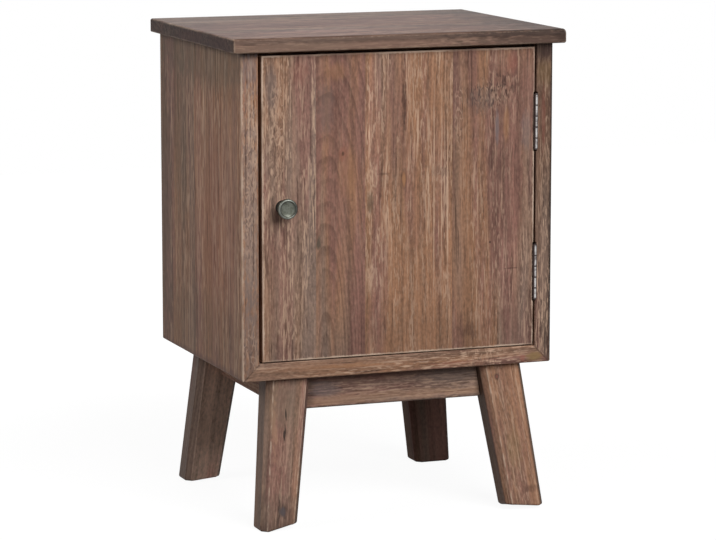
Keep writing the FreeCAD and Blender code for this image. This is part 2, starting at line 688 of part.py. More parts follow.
keep(knob_body())
knob_shank = cylinder("knob_screw_shank", "knob_screw_radius", "door_thickness + knob_screw_bite",
                      (KNOB_X, DOOR_BACK, KNOB_Z), INTO["-y"])
knob_head_back = f"{DOOR_BACK} + knob_screw_head_height"
knob_head = cylinder("knob_screw_head", "knob_screw_head_radius", "knob_screw_head_height",
                     (KNOB_X, knob_head_back, KNOB_Z), INTO["-y"])
knob_slot = box("knob_screw_slot",
                (f"{KNOB_X} - knob_screw_head_radius", f"{KNOB_X} + knob_screw_head_radius"),
                (f"{knob_head_back} - screw_slot_depth", knob_head_back),
                (f"{KNOB_Z} - screw_slot_width / 2", f"{KNOB_Z} + screw_slot_width / 2"))
keep(cut("knob_screw", fuse("knob_screw_body", [knob_shank, knob_head]), [knob_slot]))
knob_hole = cylinder("knob_screw_hole", THREAD, "door_thickness", (KNOB_X, DOOR_BACK, KNOB_Z), INTO["-y"])

# Door

door_joints = [DOOR_LEFT, f"{DOOR_LEFT} + door_plank_one", f"{DOOR_LEFT} + door_plank_one + door_plank_two",
               f"{DOOR_LEFT} + door_plank_one + door_plank_two + door_plank_three", DOOR_RIGHT]
door_tools = {1: [knob_hole] + strike_holes, 4: mortises["door"] + door_holes}
for number, x in enumerate(zip(door_joints, door_joints[1:]), 1):
    name = f"door_plank_{number}"
    blank = box(f"{name}_blank", x, (FRONT, DOOR_BACK), (DOOR_BOTTOM, DOOR_TOP))
    rounds = [("door_arris", ("front", edge)) for edge in ("top", "under")]
    outer = {1: "left", 4: "right"}.get(number)
    if outer:
        rounds.append(("door_arris", ("front", outer)))
    tools = door_tools.get(number)
    eased = round_edges(f"{name}_eased" if tools else name, blank, rounds)
    keep(cut(name, eased, tools) if tools else eased)

# Rails of the base

inner_low = f"({LEG_INNER_TOP} + ({LEG_INNER_FOOT} - {LEG_INNER_TOP}) * {RAIL_DROP})"
upper_tenon_z = ("leg_height - tenon_margin - tenon_height", "leg_height - tenon_margin")
lower_tenon_z = (f"{RAIL_LOW} + tenon_margin", f"{RAIL_LOW} + tenon_margin + tenon_height")
tenon_side = "(rail_thickness - tenon_thickness) / 2"
rail_y_top = (f"{FRONT_LEG} + leg_depth", f"{BACK_LEG} - leg_depth")
rail_y_low = (f"{rail_y_top[0]} - front_leg_rake * {RAIL_DROP}",
              f"{rail_y_top[1]} + back_leg_rake * {RAIL_DROP}")
tenons = {}


def rail(name, faces, low, high, tenon):
    """A rail cut to the slope of the legs, its lower arrises eased, with a stub tenon at each end."""
    blank = taper(f"{name}_blank", "z", (RAIL_LOW, "leg_height"), low, high)
    eased = round_edges(f"{name}_eased", blank, [("rail_arris", ("under", face)) for face in faces])
    tenons[name] = box(f"{name}_tenon", *tenon)
    recesses = [cylinder(f"{name}_recess_{n}", "base_screw_head_radius + fit_slack", "base_screw_recess",
                         (x, y, RAIL_LOW)) for n, (x, y, z) in enumerate(base_points[name], 1)]
    return keep(cut(name, fuse(f"{name}_whole", [eased, tenons[name]]), base_holes_at[name] + recesses))


for name, y in (("front_rail", front_rail_y), ("back_rail", back_rail_y)):
    tenon_x = (f"-{LEG_INNER_TOP} - tenon_length", f"{LEG_INNER_TOP} + tenon_length")
    tenon_y = (f"{y[0]} + {tenon_side}", f"{y[1]} - {tenon_side}")
    rail(name, ("front", "back"), ((f"-{inner_low}", inner_low), y),
         ((f"-{LEG_INNER_TOP}", LEG_INNER_TOP), y), (tenon_x, tenon_y, upper_tenon_z))
for side in SIDES:
    x = mirrored(side, *side_rail_x)
    tenon_x = (f"{x[0]} + {tenon_side}", f"{x[1]} - {tenon_side}")
    tenon_y = (f"{rail_y_low[0]} - tenon_length", f"{rail_y_low[1]} + tenon_length")
    rail(f"{side}_rail", ("left", "right"), (x, rail_y_low), (x, rail_y_top),
         (tenon_x, tenon_y, lower_tenon_z))

# Legs

SOLE_LINE = f"({LEG_OUTER_FOOT} - sole_flat)"
SOLE_RUN = "(leg_width_foot - sole_flat)"
TOE_RUN = "(leg_depth - sole_heel)"
LEG_Y = {
    "front": ((f"{FRONT_LEG} - front_leg_rake", f"{FRONT_LEG} - front_leg_rake + leg_depth"),
              (FRONT_LEG, f"{FRONT_LEG} + leg_depth")),
    "back": ((f"{BACK_LEG} + back_leg_rake - leg_depth", f"{BACK_LEG} + back_leg_rake"),
             (f"{BACK_LEG} - leg_depth", BACK_LEG)),
}
for end, (foot_y, top_y) in LEG_Y.items():
    for side in SIDES:
        name = f"{end}_{side}_leg"
        foot_x = mirrored(side, LEG_INNER_FOOT, LEG_OUTER_FOOT)
        top_x = mirrored(side, LEG_INNER_TOP, LEG_OUTER_TOP)
        blank = taper(f"{name}_blank", "z", ("0", "leg_height"), (foot_x, foot_y), (top_x, top_y))
        doc.recompute()
        eased = doc.addObject("Part::Chamfer", f"{name}_eased")
        eased.Base = blank
        eased.Edges = [(number, size("leg_arris"), size("leg_arris"))
                       for number, edge in enumerate(blank.Shape.Edges, 1)
                       if edge.BoundBox.ZLength > size("leg_height") - TOUCH]
        rise = f"{end}_{side}_sole_rise"
        bevel_x = mirrored(side, f"{SOLE_LINE} - 2 * {SOLE_RUN}", SOLE_LINE)
        bevel_y = (f"{foot_y[0]} - leg_depth", f"{foot_y[1]} + leg_depth")
        at_line = ((f"-{rise}", "0"), bevel_y)
        at_end = ((f"-{rise}", f"2 * {rise}"), bevel_y)
        sections = (at_end, at_line) if side == "right" else (at_line, at_end)
        bevel = taper(f"{name}_sole_bevel", "x", bevel_x, *sections)
        tools = [bevel, tenons[f"{end}_rail"], tenons[f"{side}_rail"]]
        toe = f"{end}_{side}_toe_rise"
        if toe in SIZES:
            heel_line = f"{foot_y[1]} - sole_heel"
            toe_x = mirrored(side, f"{LEG_INNER_FOOT} - leg_width_foot", f"{LEG_OUTER_FOOT} + leg_width_foot")
            tools.append(taper(f"{name}_toe_bevel", "y", (f"{heel_line} - 2 * {TOE_RUN}", heel_line),
                               (toe_x, (f"-{toe}", f"2 * {toe}")), (toe_x, (f"-{toe}", "0"))))
        keep(cut(name, eased, tools))

doc.recompute()
faulty = [obj.Name for obj in doc.Objects if {"Invalid", "Error"} & set(obj.State)]
faulty += [obj.Name for obj in pieces
           if obj.Shape.isNull() or not obj.Shape.isValid() or not obj.Shape.Solids]
if faulty:
    raise RuntimeError(f"failed: {', '.join(faulty)}")

os.makedirs("parts", exist_ok=True)
for obj in pieces:
    obj.Shape.exportStep(f"parts/{obj.Label}.step")
print(len(pieces), "sub-parts")
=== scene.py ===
"""Looks of a small plank cabinet on splayed legs: worn hardwood boards, steel hinges and a pewter knob."""

import math

import bmesh
import bpy
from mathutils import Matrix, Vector


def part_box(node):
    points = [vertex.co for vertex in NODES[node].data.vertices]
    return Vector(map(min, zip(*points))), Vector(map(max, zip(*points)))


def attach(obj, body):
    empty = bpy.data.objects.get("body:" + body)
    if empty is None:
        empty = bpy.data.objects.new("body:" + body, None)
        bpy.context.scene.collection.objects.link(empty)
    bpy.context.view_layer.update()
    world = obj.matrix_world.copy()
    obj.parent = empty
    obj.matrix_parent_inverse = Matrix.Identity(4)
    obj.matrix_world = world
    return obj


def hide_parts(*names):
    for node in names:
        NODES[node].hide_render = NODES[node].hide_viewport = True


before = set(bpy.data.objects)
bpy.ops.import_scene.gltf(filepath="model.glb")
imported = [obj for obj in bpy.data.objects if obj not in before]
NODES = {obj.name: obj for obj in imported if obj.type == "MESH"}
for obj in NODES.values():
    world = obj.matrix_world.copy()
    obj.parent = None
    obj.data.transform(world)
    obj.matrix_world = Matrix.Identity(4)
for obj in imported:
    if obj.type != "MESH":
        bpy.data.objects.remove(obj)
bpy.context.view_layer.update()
MM = 0.001
ZERO = (0.0, 0.0, 0.0)
WHITE, GREY = (1.0, 1.0, 1.0, 1.0), (0.5, 0.5, 0.5, 1.0)


def tone(red, green, blue):
    """A colour written as it should look, 0 to 255 for each channel, turned into linear light."""
    def linear(channel):
        share = channel / 255
        return share / 12.92 if share <= 0.04045 else ((share + 0.055) / 1.055) ** 2.4
    return (linear(red), linear(green), linear(blue), 1.0)


def millimetres(*lengths):
    """Lengths in millimetres, turned into the scene's metres."""
    return tuple(length * MM for length in lengths)


class Wiring:
    """Adds nodes to one node tree. An input may be a number, a colour or another node's output."""

    def __init__(self, tree):
        self.tree = tree

    def link(self, output, socket):
        self.tree.links.new(output, socket)

    def add(self, kind, inputs=None, **settings):
        node = self.tree.nodes.new(kind)
        for name, value in settings.items():
            setattr(node, name, value)
        for key, value in (inputs or {}).items():
            if isinstance(value, bpy.types.NodeSocket):
                self.link(value, node.inputs[key])
            else:
                node.inputs[key].default_value = value
        return node

    def math(self, operation, *values, clamp=False):
        node = self.add("ShaderNodeMath", dict(enumerate(values)), operation=operation, use_clamp=clamp)
        return node.outputs[0]

    def vector(self, operation, *values):
        node = self.add("ShaderNodeVectorMath", dict(enumerate(values)), operation=operation)
        return node.outputs["Value" if operation == "LENGTH" else "Vector"]

    def scaled(self, vector, factor):
        node = self.add("ShaderNodeVectorMath", {"Vector": vector, "Scale": factor}, operation="SCALE")
        return node.outputs["Vector"]

    def parts(self, vector):
        return self.add("ShaderNodeSeparateXYZ", {0: vector}).outputs

    def joined(self, x, y, z):
        return self.add("ShaderNodeCombineXYZ", {0: x, 1: y, 2: z}).outputs[0]

    def ramp(self, value, start, end, low=0.0, high=1.0):
        """A smooth step of the value from low at start to high at end."""
        node = self.add("ShaderNodeMapRange", {0: value, 1: start, 2: end, 3: low, 4: high},
                        interpolation_type="SMOOTHSTEP")
        return node.outputs[0]

    def band(self, value, rise, fall):
        """One between rise and fall, each a pair of values to fade between, and zero outside."""
        return self.math("MULTIPLY", self.ramp(value, *rise), self.ramp(value, *reversed(fall)))

    def mix(self, share, first, second, blend="MIX"):
        node = self.add("ShaderNodeMix", {0: share, 6: first, 7: second}, data_type="RGBA", blend_type=blend)
        return node.outputs[2]

    def noise(self, point, per_metre, detail=2.0, roughness=0.5, output="Fac", shift=None):
        """Noise with its own features per metre along each axis. A shift sets it apart from others."""
        place = self.vector("ADD", point, shift) if shift else point
        stretched = self.vector("MULTIPLY", place, per_metre)
        node = self.add("ShaderNodeTexNoise",
                        {"Vector": stretched, "Scale": 1.0, "Detail": detail, "Roughness": roughness})
        return node.outputs[output]

    def surface(self, colour, roughness, height, relief, depth, more=None):
        """Ends a material in its shader, with relief of a depth in mm. More holds other inputs."""
        bump = self.add("ShaderNodeBump", {"Height": height, "Strength": relief, "Distance": depth * MM})
        shader = self.add("ShaderNodeBsdfPrincipled", {
            "Base Color": colour, "Roughness": roughness, "Normal": bump.outputs["Normal"], **(more or {}),
        })
        self.add("ShaderNodeOutputMaterial", {"Surface": shader.outputs[0]})


def blank_material(name):
    """A new material without nodes, and the wiring of its tree."""
    material = bpy.data.materials.new(name)
    material.use_nodes = True
    material.node_tree.nodes.clear()
    return material, Wiring(material.node_tree)


def shader_group(name, inputs, outputs):
    """A new shader node group. Inputs are rows of name, kind and default value; outputs of name and kind."""
    tree = bpy.data.node_groups.new(name, "ShaderNodeTree")
    for label, kind, value in inputs:
        socket = tree.interface.new_socket(label, in_out="INPUT", socket_type="NodeSocket" + kind)
        socket.default_value = value
    for label, kind in outputs:
        tree.interface.new_socket(label, in_out="OUTPUT", socket_type="NodeSocket" + kind)
    wiring = Wiring(tree)
    return tree, wiring, wiring.add("NodeGroupInput").outputs, wiring.add("NodeGroupOutput").inputs


# Grain of the wood

# Features per metre across, through and along the grain
SLOW_WAVE, QUICK_WAVE = (9, 9, 3.2), (70, 70, 75)
UNEVEN_RINGS = (38, 38, 2.0)
BROAD_BANDS, BLUSH_BANDS, NARROW_BANDS = (24, 24, 1.6), (38, 38, 3.4), (150, 150, 4.0)
FLECKS, FINE_FIBRES, DASHES = (450, 450, 220), (400, 400, 10), (470, 470, 32)
LONG_PORES, SHORT_PORES, PORE_PATCHES = (430, 430, 12), (520, 520, 85), (60, 60, 4.0)

# Swing of the slow and the quick wave in mm
SLOW_SWING, QUICK_SWING = 10, 1

# Step in metres from one board's pattern to the next one's
SEED_STEP = (0.731, 1.370, 2.110)


def grain_wave(w, place):
    """How far the fibres swing to the side, in slow and in quick waves."""
    waves = []
    for pattern, swing in ((SLOW_WAVE, SLOW_SWING), (QUICK_WAVE, QUICK_SWING)):
        centred = w.vector("SUBTRACT", w.noise(place, pattern, output="Color"), (0.5, 0.5, 0.5))
        waves.append(w.vector("MULTIPLY", centred, millimetres(swing, swing, 0)))
    return w.vector("ADD", *waves)


def growth_rings(w, given, place, from_pith):
    """Dark late wood of the growth rings, counted outward from the tree's middle in rings of uneven width."""
    radius = w.vector("LENGTH", w.vector("MULTIPLY", from_pith, (1.0, 1.0, 0.0)))
    uneven = w.noise(place, UNEVEN_RINGS, detail=1.0)
    count = w.math("ADD", w.math("DIVIDE", radius, given["Ring Width"]), w.math("MULTIPLY", uneven, 2.2))
    late_wood = w.band(w.math("FRACT", count), (0.30, 0.88), (0.90, 1.0))
    whole_count = w.math("FLOOR", count)
    own = w.add("ShaderNodeTexWhiteNoise", {"W": whole_count}, noise_dimensions="1D").outputs["Value"]
    ring = w.math("MULTIPLY", late_wood, w.math("MULTIPLY_ADD", own, 0.8, 0.2))
    return w.math("MULTIPLY", ring, given["Ring Strength"])


def brown_ground(w, given, place, fibre_place):
    """Broad bands drift between warm, cool and plum browns; narrow ones and flecks change the lightness."""
    broad = w.noise(place, BROAD_BANDS, detail=3.0)
    drift = w.ramp(w.math("ADD", broad, w.math("SUBTRACT", 0.5, given["Warmth"])), 0.38, 0.62)
    ground = w.mix(drift, given["Warm"], given["Cool"])
    blush = w.noise(place, BLUSH_BANDS, detail=4.0, shift=(4.7, 2.9, 6.1))
    blush = w.math("ADD", blush, w.math("MULTIPLY_ADD", given["Blush"], 0.4, -0.2))
    ground = w.mix(w.ramp(blush, 0.44, 0.62, 0.0, 0.9), ground, given["Plum"])
    narrow = w.noise(fibre_place, NARROW_BANDS, detail=3.0, roughness=0.6)
    fleck = w.noise(fibre_place, FLECKS, detail=1.0)
    level = w.math("MULTIPLY_ADD", w.math("SUBTRACT", narrow, 0.5), 1.5, 1.0)
    level = w.math("MULTIPLY_ADD", w.math("SUBTRACT", fleck, 0.5), 0.9, level)
    level = w.math("MULTIPLY", level, given["Lightness"])
    return w.mix(1.0, ground, w.joined(level, level, level), blend="MULTIPLY")


def limed_pores(w, place, fibre_place, dash):
    """Pale, lime-filled pores: long ones broken into dashes, and short ones, more of both in some patches."""
    long_pore = w.noise(fibre_place, LONG_PORES, detail=3.0, roughness=0.62, shift=(3.1, 1.7, 0.9))
    long_pore = w.math("MULTIPLY", w.ramp(long_pore, 0.50, 0.62), w.ramp(dash, 0.42, 0.58))
    short_pore = w.ramp(w.noise(place, SHORT_PORES, shift=(7.3, 0.4, 5.9)), 0.52, 0.66, 0.0, 0.7)
    patch = w.ramp(w.noise(fibre_place, PORE_PATCHES), 0.36, 0.60, 0.15, 1.0)
    return w.math("MULTIPLY", w.math("MAXIMUM", long_pore, short_pore), patch)


def board_grain():
    """Grain of one board. The point is in metres from its middle: across, through and along the grain."""
    tree, w, given, result = shader_group("Board Grain", [
        ("Point", "Vector", ZERO), ("Seed", "Float", 0.0), ("Lean", "Vector", ZERO),
        ("Pith", "Vector", ZERO), ("Pith Lean", "Vector", ZERO), ("Ring Width", "Float", 0.004),
        ("Ring Strength", "Float", 0.4), ("Fibre Strength", "Float", 0.5), ("Lime", "Float", 0.5),
        ("Blush", "Float", 0.5), ("Warmth", "Float", 0.5), ("Lightness", "Float", 1.0),
        *((label, "Color", WHITE) for label in ("Warm", "Cool", "Plum", "Dark", "Pale")),
    ], [("Color", "Color"), ("Roughness", "Float"), ("Height", "Float")])
    along = w.parts(given["Point"])[2]
    rise = w.joined(along, along, 0.0)
    upright = w.vector("MULTIPLY_ADD", rise, given["Lean"], given["Point"])
    place = w.vector("ADD", upright, w.scaled(SEED_STEP, given["Seed"]))
    wave = grain_wave(w, place)
    fibre_place = w.vector("ADD", place, wave)
    leaning = w.vector("MULTIPLY_ADD", rise, given["Pith Lean"], upright)
    from_pith = w.vector("SUBTRACT", w.vector("ADD", leaning, wave), given["Pith"])
    ring = growth_rings(w, given, place, from_pith)

    # Rings and dark fibres shade the ground; the fibres run along the grain and are broken into dashes.
    fine = w.noise(fibre_place, FINE_FIBRES, detail=3.0, roughness=0.62)
    dash = w.noise(fibre_place, DASHES, roughness=0.6, shift=(1.9, 5.3, 2.7))
    dark_fibre = w.math("MULTIPLY", w.ramp(fine, 0.49, 0.35), w.ramp(dash, 0.62, 0.44))
    shade = w.math("MAXIMUM", ring, w.math("MULTIPLY", dark_fibre, given["Fibre Strength"]))
    ground = brown_ground(w, given, place, fibre_place)
    shaded = w.mix(w.math("MULTIPLY", shade, 0.9, clamp=True), ground, given["Dark"])
    pore = limed_pores(w, place, fibre_place, dash)
    limed = w.mix(w.math("MULTIPLY", pore, given["Lime"], clamp=True), shaded, given["Pale"])

    w.link(limed, result["Color"])
    w.link(w.math("MULTIPLY_ADD", fine, -0.25, 0.78), result["Roughness"])
    height = w.math("SUBTRACT", w.math("MULTIPLY", fine, 0.6), w.math("MULTIPLY", pore, 0.8))
    w.link(w.math("MULTIPLY_ADD", ring, -0.35, height), result["Height"])
    return tree


# Wear and marks on the wood

# Features per metre of the ragged and patchy wear of an arris, and of the curly lines of a crinkled mark
RAGGED_WEAR, PATCHY_WEAR, CURLS = (260, 260, 260), (26, 26, 26), (250, 250, 85)

# Each mark has curls of its own: their pattern is moved by so many times the place of its centre
CURL_SHIFT = 3.7


def worn_arris():
    """How worn a point is by how near it lies to an arris of a box, whose walls may lean with height."""
    tree, w, given, result = shader_group("Worn Arris", [
        ("Point", "Vector", ZERO), ("Low", "Vector", ZERO), ("High", "Vector", ZERO),
        ("Low Slope", "Vector", ZERO), ("High Slope", "Vector", ZERO),
        ("Width", "Float", 0.002), ("Patchy", "Float", 0.5),
    ], [("Worn", "Float")])
    point = given["Point"]
    height = w.parts(point)[2]
    level = w.joined(height, height, height)
    low = w.vector("MULTIPLY_ADD", level, given["Low Slope"], given["Low"])
    high = w.vector("MULTIPLY_ADD", level, given["High Slope"], given["High"])
    from_low, from_high = w.vector("SUBTRACT", point, low), w.vector("SUBTRACT", high, point)
    x, y, z = w.parts(w.vector("MINIMUM", from_low, from_high))

    # Of the three distances to the walls, the middle one is the distance to the nearest arris.
    total = w.math("ADD", w.math("ADD", x, y), z)
    largest = w.math("MAXIMUM", w.math("MAXIMUM", x, y), z)
    smallest = w.math("MINIMUM", w.math("MINIMUM", x, y), z)
    distance = w.math("SUBTRACT", w.math("SUBTRACT", total, largest), smallest)
    reach = w.math("MULTIPLY", given["Width"], w.math("MULTIPLY_ADD", w.noise(point, RAGGED_WEAR), 1.4, 0.3))
    line = w.math("SUBTRACT", 1.0, w.ramp(w.math("DIVIDE", distance, reach), 0.35, 1.0))
    patch = w.ramp(w.noise(point, PATCHY_WEAR), 0.36, 0.60)
    keep = w.math("SUBTRACT", 1.0, w.math("MULTIPLY", given["Patchy"], w.math("SUBTRACT", 1.0, patch)))
    w.link(w.math("MULTIPLY", line, keep), result["Worn"])
    return tree


def oval_mark():
    """A soft oval of given half sizes round a centre, with a ragged outline: a knot, a stain or a streak.

    Crinkle leaves only thin curly lines of it.
    """
    tree, w, given, result = shader_group("Oval Mark", [
        ("Point", "Vector", ZERO), ("Centre", "Vector", ZERO), ("Half Size", "Vector", (1.0, 1.0, 1.0)),
        ("Ragged", "Float", 0.5), ("Ragged Grain", "Vector", ZERO), ("Crinkle", "Float", 0.0),
    ], [("Mask", "Float")])
    point, centre = given["Point"], given["Centre"]
    away = w.vector("DIVIDE", w.vector("SUBTRACT", point, centre), given["Half Size"])
    ragged = w.math("SUBTRACT", w.noise(point, given["Ragged Grain"]), 0.5)
    spread = w.math("MULTIPLY", given["Ragged"], 2.0)
    distance = w.math("MULTIPLY_ADD", ragged, spread, w.vector("LENGTH", away))
    own_place = w.vector("SUBTRACT", point, w.scaled(centre, CURL_SHIFT))
    ridge = w.math("ABSOLUTE", w.math("SUBTRACT", w.noise(own_place, CURLS, detail=1.0), 0.5))
    smooth = w.math("MULTIPLY", given["Crinkle"], w.ramp(ridge, 0.02, 0.08))
    w.link(w.math("MULTIPLY", w.ramp(distance, 1.0, 0.35), w.math("SUBTRACT", 1.0, smooth)), result["Mask"])
    return tree


GRAIN, ARRIS, MARK = board_grain(), worn_arris(), oval_mark()


# Tones of the wood

BROWNS = {
    "Warm": tone(150, 110, 84), "Cool": tone(128, 106, 94), "Plum": tone(129, 92, 82),
    "Dark": tone(66, 44, 37), "Pale": tone(206, 172, 147),
}
PALE = BROWNS["Pale"]
WORN = tone(212, 186, 165)
# Dark tint of dirt and dark joints; also used as painted shade under the top, on the front rail and on the
# legs.
SOOT_AND_SHADE = tone(34, 25, 22)
END_GRAIN = tone(36, 28, 29)
KNOT, KNOT_BLUE = tone(62, 40, 36), tone(84, 78, 86)
GREEN_STAIN, GREY_STAIN = tone(72, 68, 58), tone(106, 92, 88)
BLUE_GREY, PINK_GREY, GREEN_GREY = tone(124, 112, 112), tone(140, 124, 117), tone(112, 98, 82)
OLIVE, DARK_OLIVE, GREY_OLIVE = tone(132, 108, 68), tone(72, 62, 50), tone(92, 80, 64)
ORANGE, RED_BROWN, DARK_PLUM = tone(166, 120, 86), tone(142, 88, 74), tone(84, 58, 54)
TAN, TAN_ORANGE = tone(158, 128, 111), tone(176, 138, 110)

# Factors that darken or lighten the wood instead of covering it
SHADED, BLEACHED = (0.45, 0.46, 0.48, 1.0), (1.6, 1.65, 1.7, 1.0)


# Materials of the boards

# Features per metre of a mark's ragged outline, across and along the grain
RAGGED_ACROSS, RAGGED_ALONG = 300, 90

# Features per metre of the breaks in a leg's pale wear
BROKEN_WEAR = (300, 300, 60)

# How strongly the grain shows as relief, and how deep in mm
WOOD_RELIEF, WOOD_RELIEF_DEPTH = 0.35, 0.6


def own_wear_and_shade(w, place, colour, strength):
    """Wear from a piece's attribute "arris": broken and pale above zero, dark below it with dirt and painted
    shade.
    """
    edge = w.add("ShaderNodeAttribute", attribute_name="arris").outputs["Fac"]
    broken = w.ramp(w.noise(place, BROKEN_WEAR, detail=3.0), 0.42, 0.60, 0.10 * strength, strength)
    colour = w.mix(w.math("MULTIPLY", edge, broken, clamp=True), colour, WORN)
    return w.mix(w.math("MULTIPLY", edge, -strength, clamp=True), colour, SOOT_AND_SHADE)


def board_material(name, row, box, own_arris=0.0):
    """Material of one board, from its row: which way its grain runs, its own figure, marks and arrises.

    On a piece of the scene's own, own_arris is how strongly the wear in its attribute shows.
    """
    material, w = blank_material(name)
    coordinates = w.add("ShaderNodeTexCoord").outputs
    place, normal = coordinates["Object"], w.parts(coordinates["Normal"])
    low, high = box
    centred = w.parts(w.vector("SUBTRACT", place, tuple((low + high) / 2)))
    across, through, along = ("xyz".index(axis) for axis in row["axes"])
    fineness = w.ramp(w.math("ABSOLUTE", normal[1]), 0.6, 0.8, 1 / row["coarse"], 1.0)
    point = w.scaled(w.joined(centred[across], centred[through], centred[along]), fineness)
    grain = w.add("ShaderNodeGroup", {"Point": point, **BROWNS, **row["figure"]}, node_tree=GRAIN).outputs
    colour = grain["Color"]

    ragged_grain = tuple(RAGGED_ALONG if axis == along else RAGGED_ACROSS for axis in range(3))
    for spot in row["marks"]:
        inputs = {"Point": place, "Ragged Grain": ragged_grain, **spot["inputs"]}
        mask = w.add("ShaderNodeGroup", inputs, node_tree=MARK).outputs["Mask"]
        colour = w.mix(w.math("MULTIPLY", mask, spot["strength"]), colour, spot["tint"], spot["blend"])
    end_grain = w.ramp(w.math("ABSOLUTE", normal[along]), 0.6, 0.95, 0.0, 0.7)
    colour = w.mix(end_grain, colour, END_GRAIN)
    for edge in row["arrises"]:
        worn = w.add("ShaderNodeGroup", {"Point": place, **edge["inputs"]}, node_tree=ARRIS).outputs["Worn"]
        colour = w.mix(w.math("MULTIPLY", worn, edge["strength"]), colour, edge["tint"])
    if own_arris:
        colour = own_wear_and_shade(w, place, colour, own_arris)
    w.surface(colour, grain["Roughness"], grain["Height"], WOOD_RELIEF, WOOD_RELIEF_DEPTH,
              {"Specular IOR Level": row["gloss"]})
    return material


def common_box(*names):
    """Lowest and highest corner of several nodes taken together."""
    boxes = [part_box(name) for name in names]
    low = Vector(min(box[0][axis] for box in boxes) for axis in range(3))
    high = Vector(max(box[1][axis] for box in boxes) for axis in range(3))
    return low, high


def arris(box, width, strength, tint=WORN, patchy=0.5, grow=(0, 0, 0), slopes=(ZERO, ZERO)):
    """A row for worn arrises on a box. Walls moved out by grow, in mm, are left unworn."""
    low, high = box
    more = Vector(millimetres(*grow))
    inputs = {
        "Low": tuple(low - more), "High": tuple(high + more), "Width": width * MM, "Patchy": patchy,
        "Low Slope": slopes[0], "High Slope": slopes[1],
    }
    return {"inputs": inputs, "strength": strength, "tint": tint}


def figure(seed, warmth, lightness, pith, pith_lean=(0, 0), ring_width=4.0, rings=0.4, fibre=0.5, lime=0.5,
           plum=0.5, lean=(0, 0)):
    """A board's own figure. Pith and ring width in mm; leans in mm of shift for each mm along the grain."""
    return {
        "Seed": float(seed), "Warmth": warmth, "Lightness": lightness,
        "Pith": (*millimetres(*pith), 0.0), "Pith Lean": (*pith_lean, 0.0), "Lean": (*lean, 0.0),
        "Ring Width": ring_width * MM, "Ring Strength": rings, "Fibre Strength": fibre,
        "Lime": lime, "Blush": plum,
    }


def mark(centre, half, tint, strength, ragged=0.4, crinkle=0.0):
    """A row for one mark: its middle and half sizes in mm, its tint and how strongly it shows."""
    inputs = {
        "Centre": millimetres(*centre), "Half Size": millimetres(*half), "Ragged": ragged, "Crinkle": crinkle,
    }
    blend = "MULTIPLY" if tint in (SHADED, BLEACHED) else "MIX"
    return {"inputs": inputs, "tint": tint, "strength": strength, "blend": blend}


def board(axes, own_figure, arrises=(), marks=(), gloss=0.2, coarse=1.0):
    """A row for one board. Coarse is how much larger than usual its grain is, but for its front edge."""
    return {"axes": axes, "figure": own_figure, "arrises": arrises, "marks": marks, "gloss": gloss,
            "coarse": coarse}


# Arrises of the cabinet, the door and the top

door_box = common_box(*(f"door_plank_{number}" for number in (1, 2, 3, 4)))
top_box = common_box("top_front_plank", "top_middle_plank", "top_back_plank")
bottom_box = common_box("bottom_front_plank", "bottom_back_plank")
carcass_box = common_box("left_side_front_plank", "right_side_back_plank", "bottom_front_plank")
mitre_box = (Vector((bottom_box[0].x - bottom_box[0].z, *bottom_box[0][1:])),
             Vector((bottom_box[1].x + bottom_box[0].z, *bottom_box[1][1:])))

# Moves the walls above and below out of reach, so that only upright arrises are worn
UPRIGHT_ONLY = (0, 0, 40)

door_edges = [arris(door_box, 2.8, 0.85, patchy=0.75)]
carcass_edges = [arris(carcass_box, 2.8, 0.70, patchy=0.85, grow=UPRIGHT_ONLY)]
grimy_edges = [arris(carcass_box, 3.5, 0.75, tint=SOOT_AND_SHADE, patchy=0.3, grow=UPRIGHT_ONLY)]
top_edges = [arris(top_box, 2.5, 0.30, patchy=0.8)]
mitre_grime = arris(mitre_box, 2.2, 0.50, tint=SOOT_AND_SHADE, patchy=0.2, grow=UPRIGHT_ONLY,
                    slopes=((1, 0, 0), (-1, 0, 0)))


# Marks, with their places in the frame and their half sizes, all in mm

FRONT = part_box("door_plank_1")[0].y / MM
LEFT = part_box("left_side_front_plank")[0].x / MM
RAIL_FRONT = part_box("front_rail")[0].y / MM
TOP_FRONT, UNDER_TOP, TOP = top_box[0].y / MM, top_box[0].z / MM, top_box[1].z / MM

# How deep marks reach into the wood
SKIN, RAIL_SKIN = 8, 20

TOP_RAGGED = 0.9
CRACKLE_APART, CRACKLE_RAGGED, CRACKLE_CRINKLE = 6, 0.5, 0.95


def front_marks(*rows):
    """Marks on the front of the door or the cabinet: x, z, half x, half z, tint and the rest of a mark."""
    return [mark((x, FRONT, z), (half_x, SKIN, half_z), *rest) for x, z, half_x, half_z, *rest in rows]


def left_marks(*rows):
    """Stains and painted shade on the outside of the left side: y, z, half y, half z, tint, strength and
    raggedness.
    """
    return [mark((LEFT, y, z), (SKIN, half_y, half_z), *rest) for y, z, half_y, half_z, *rest in rows]


def top_marks(*rows):
    """Light and dark patches on the top: x, y, half x, half y, tint and strength, all very ragged."""
    return [mark((x, y, TOP), (half_x, half_y, SKIN), *rest, TOP_RAGGED)
            for x, y, half_x, half_y, *rest in rows]


def rail_marks(*rows):
    """Marks on the front rail: x, z, half x, half z, tint, strength and raggedness."""
    return [mark((x, RAIL_FRONT, z), (half_x, RAIL_SKIN, half_z), *rest)
            for x, z, half_x, half_z, *rest in rows]


def crackle(x, z, half_x, half_z, strength):
    """Rows for thin dark and pale curly lines over one place on the front."""
    return [(x, z + shift, half_x, half_z, tint, strength, CRACKLE_RAGGED, CRACKLE_CRINKLE)
            for shift, tint in ((-CRACKLE_APART, KNOT), (CRACKLE_APART, PALE))]


